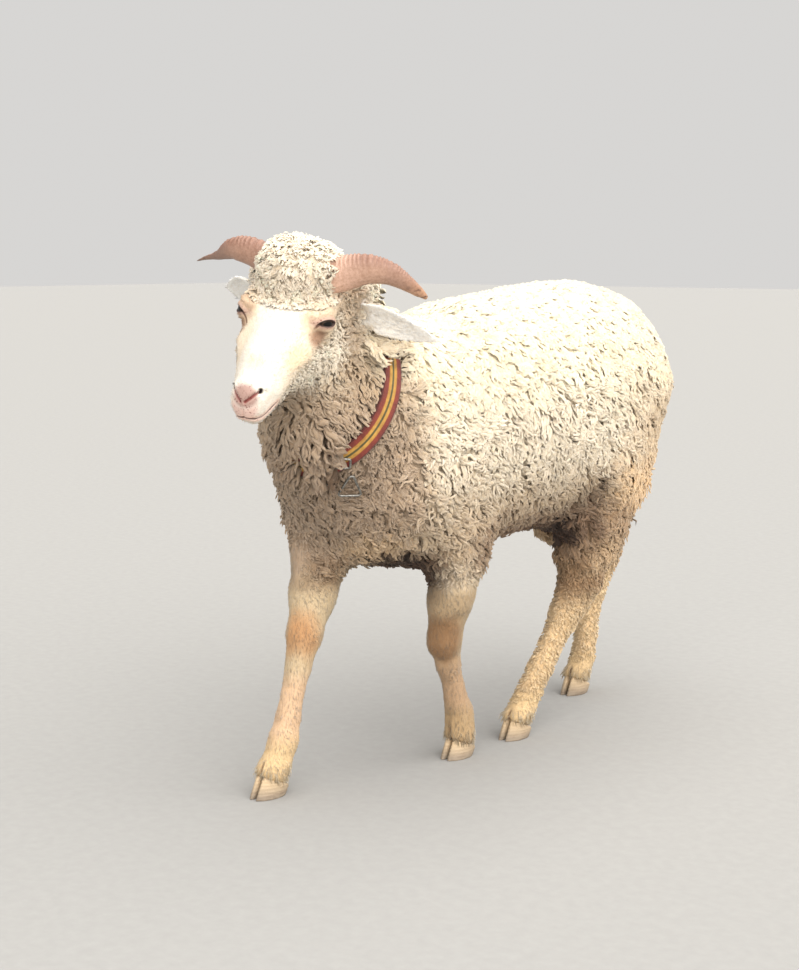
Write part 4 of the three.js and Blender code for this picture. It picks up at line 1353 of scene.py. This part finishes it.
def staples(
    roots, seed, spacing, swirl, scatter, stray, pull,
    length, rise, width, crimp, waves, dark, broad=0.3,
):
    """Turns the roots' lie staple by staple and gives every lock its look."""
    rng = np.random.default_rng(seed)
    staple, chosen = nearest_staple(roots, spacing)
    bend = patches(roots.at[chosen] / MM, 45, seed) * swirl + rng.normal(0, scatter, len(chosen))
    roots.lie = unit(turned(roots.lie, roots.out, bend[staple] + rng.normal(0, stray, len(roots))))
    towards = roots.at[chosen][staple] - roots.at
    towards -= roots.out * (towards * roots.out).sum(1)[:, None]
    count = len(roots)

    def vary(middle, share):
        return middle * (1 + rng.uniform(-share, share, count))

    size = (1 + rng.normal(0, 0.14, len(chosen)))[staple]
    broad_lock = rng.random(count) < broad
    width = np.where(broad_lock, width * 2.1, width)
    rise = np.where(broad_lock, rise * 0.82, rise)
    return {
        "gather": towards * pull,
        "phase": (rng.random(len(chosen)) * math.tau)[staple] + rng.normal(0, 0.6, count),
        "length": vary(length * size, 0.2),
        "rise": vary(rise * (0.6 + 0.4 * size), 0.14),
        "width": vary(width, 0.2),
        "crimp": vary(crimp, 0.35),
        "waves": vary(waves, 0.3),
        "dark": vary(dark, 0.1),
        "light": vary((1 + rng.normal(0, TONE_SPREAD, len(chosen)))[staple], 0.06),
        "soft": np.ones(count),
    }


LOCK_SHAPE = ((0, 0.3, 0.7, 0.88, 1), (0.8, 1, 0.95, 0.8, 0.1))
HAIR_SHAPE = ((0, 0.4, 0.8, 1), (0.9, 1, 0.5, 0.05))


def planted(roots, chosen, look):
    """Part of the roots, with its share of the look."""
    return roots.some(chosen), {name: values[chosen] for name, values in look.items()}


# The fleece is finer on the neck, hangs long behind the thighs, lies calm and shallow along the back,
# and falls over the webbing at the nape and the chest.
in_fleece = smoothstep(7.5, 9.5, depth + THINNER_ABOVE * topside)
fleece = Roots(in_fleece * (1 - smoothstep(0.35, 0.6, head)), 4.6, 11)
deep = fleece.take(depth_m)
sx, sy, sz = in_design(fleece.at).T
neck_part = fleece.take(is_part(parts, "neck").astype(float)) > 0.5
leg_part = fleece.take(foreleg + hindleg) > 0.5
calm = fleece.take(topside)
full = np.clip(deep / (11 * MM) + 0.4 * calm, 0.55, 1.05)
fine = smoothstep(230, 120, sy) * smoothstep(400, 470, sz)
hanging = smoothstep(600, 660, sy) * smoothstep(490, 430, sz) * smoothstep(300, 360, sz)
look = staples(
    fleece, seed=12, spacing=12, swirl=0.7, scatter=0.5, stray=0.22, pull=0.45,
    length=(21 - 4 * fine + 12 * hanging) * MM * full, rise=deep * 0.95, width=(3.9 - 0.6 * fine) * MM,
    crimp=(2.6 - 0.5 * fine) * MM * full, waves=1.35 + 0.5 * hanging,
    dark=0.84 + 0.13 * smoothstep(440, 560, sz),
)
look["soft"] = 1 - 0.8 * hanging
look["crimp"] *= 1 - 0.35 * calm
look["width"] *= 1 + 0.25 * calm
look["rise"] *= 1 - 0.2 * calm
behind_thigh = smoothstep(0.1, 0.6, fleece.out[:, 1]) * smoothstep(480, 430, sz) * smoothstep(600, 640, sy)
look["rise"] += 9 * MM * behind_thigh * smoothstep(290, 330, sz) * smoothstep(400, 370, sz)
turns, _, across = round_collar(fleece.at)
draped = wool_over_strap(turns) * smoothstep(-38 * MM, -6 * MM, across) * smoothstep(42 * MM, 24 * MM, across)
look["rise"] += (16 + 7 * (sx > 30)) * MM * draped
look["length"] += 13 * MM * draped
look["width"] *= 1 + 0.45 * draped
look["crimp"] *= 1 + 0.25 * draped
look["waves"] += 0.3 * draped
from_ring = away(fleece.at, np.array(middle("collar_triangle_ring")))
look["rise"] *= 1 - 0.55 * smoothstep(38 * MM, 22 * MM, from_ring)
above = smoothstep(9 * MM, 12 * MM, across) * smoothstep(32 * MM, 20 * MM, across) * (1 - draped)
look["rise"] += 6 * MM * above
look["length"] += 3 * MM * above
side = np.where(sx > 0, "left", "right")
on_flank = ~neck_part & ~leg_part
bands_of_body = {
    "neck": neck_part,
    "shoulder": ~neck_part & (sy < 250),
    "ribs": ~neck_part & (sy >= 250) & (sy < 430),
    "loin": on_flank & (sy >= 430) & (sy < 630),
    "rump": on_flank & (sy >= 630),
    "thigh": leg_part & (sy >= 430),
}
for band, within in bands_of_body.items():
    for hand in SIDES:
        part, part_look = planted(fleece, within & (side == hand), look)
        grow(f"fleece_{band}_{hand}", part, wool_finish, 6, LOCK_SHAPE, True, **part_look)

# ------------------------------------------------------------------ cap and cheeks
# A cap of tight cream curls from the brow to the poll, and shorter curls over the cheeks and the ear
# roots: the same wool as the fleece, but finer and closer set.

curls = Roots(smoothstep(2.2, 3.2, depth) * smoothstep(0.3, 0.5, head), 3.3, 21)
deep = curls.take(depth_m)
full = np.clip(deep / (8 * MM), 0.35, 1.1)
look = staples(
    curls, seed=22, spacing=8, swirl=1.0, scatter=0.7, stray=0.3, pull=0.4,
    length=11 * MM * full, rise=deep * 0.9, width=2.3 * MM * full ** 0.5,
    crimp=1.5 * MM * full, waves=1.3, dark=0.97, broad=0.45,
)
head_wool = coat_material("wool_of_the_head", 0.85, 0.1, 0.2)
on_cap = in_head(curls.at)[:, 2] > 12
for name, chosen in (("wool_cap", on_cap), ("wool_cheeks", ~on_cap)):
    part, part_look = planted(curls, chosen, look)
    grow(name, part, head_wool, 6, LOCK_SHAPE, name == "wool_cheeks", **part_look)

# ------------------------------------------------------------------ leg wool
# Short tan wool round the tops of the forelegs and down the hind legs to the pasterns. It grows from
# the same hide as the fleece, closer to it and less crimped.

stockinged = smoothstep(2.4, 3.4, depth) * (1 - in_fleece)
stockinged *= (1 - smoothstep(0.2, 0.5, head)) * (1 - smoothstep(0.2, 0.5, ear))
stockings = Roots(stockinged, 3.3, 31)
deep = stockings.take(depth_m)
full = np.clip(deep / (8 * MM), 0.5, 1.2)
look = staples(
    stockings, seed=32, spacing=8, swirl=0.5, scatter=0.45, stray=0.3, pull=0.4,
    length=9.5 * MM * full, rise=deep * 0.85, width=2.2 * MM, crimp=1.0 * MM * full, waves=2.0, dark=0.9,
)
front_leg = stockings.take(foreleg) > 0.5
left_leg = in_design(stockings.at)[:, 0] > 0
wool_of_legs = {
    "wool_forelegs": front_leg,
    "wool_hindleg_left": ~front_leg & left_leg,
    "wool_hindleg_right": ~front_leg & ~left_leg,
}
for name, chosen in wool_of_legs.items():
    part, part_look = planted(stockings, chosen, look)
    grow(name, part, wool_finish, 4, LOCK_SHAPE, **part_look)

# ------------------------------------------------------------------ short hair
# Fine flat hair on the face, ears and shanks, longer where it hangs over the claws. It grows straight
# from the hide, lies close to it and breaks the outline a little.

hair_finish = coat_material("short_hair", 0.7, 0.2)
head_hair = coat_material("short_hair_of_the_head", 0.7, 0.1, 0.15)
haired = (1 - smoothstep(2.0, 3.0, depth)) * (1 - smoothstep(0.2, 0.6, bare))
hair = Roots(haired, 3.45, 41)
rng = np.random.default_rng(42)
count = len(hair)
on_ear = hair.take(ear)
on_face = hair.take(head)
low = smoothstep(50, 38, in_design(hair.at)[:, 2])
hair_length = (7.5 - 2.5 * on_face + 6.5 * low) * MM
flat = 0.65 + 0.35 * np.maximum(on_face, on_ear)
look = {
    "gather": np.zeros((count, 3)),
    "phase": rng.random(count) * math.tau,
    "length": hair_length * rng.uniform(0.75, 1.25, count),
    "rise": (1.2 + 3.0 * low) * flat * MM * rng.uniform(0.5, 1.3, count),
    "width": 1.4 * MM * rng.uniform(0.7, 1.3, count),
    "crimp": 0.3 * MM * rng.uniform(0, 1, count),
    "waves": rng.uniform(0.3, 0.8, count),
    "dark": np.full(count, 0.97),
    "light": rng.uniform(0.94, 1.06, count),
    "soft": np.ones(count),
}
hair.lie = unit(turned(hair.lie, hair.out, rng.normal(0, 0.22, count)))
places_of_hair = {
    "hair_face": on_face > 0.5,
    "hair_ears": (on_ear > 0.5) & (on_face <= 0.5),
    "hair_legs": (on_face <= 0.5) & (on_ear <= 0.5),
}
for name, chosen in places_of_hair.items():
    part, part_look = planted(hair, chosen, look)
    grow(name, part, hair_finish if name == "hair_legs" else head_hair, 3, HAIR_SHAPE, **part_look)
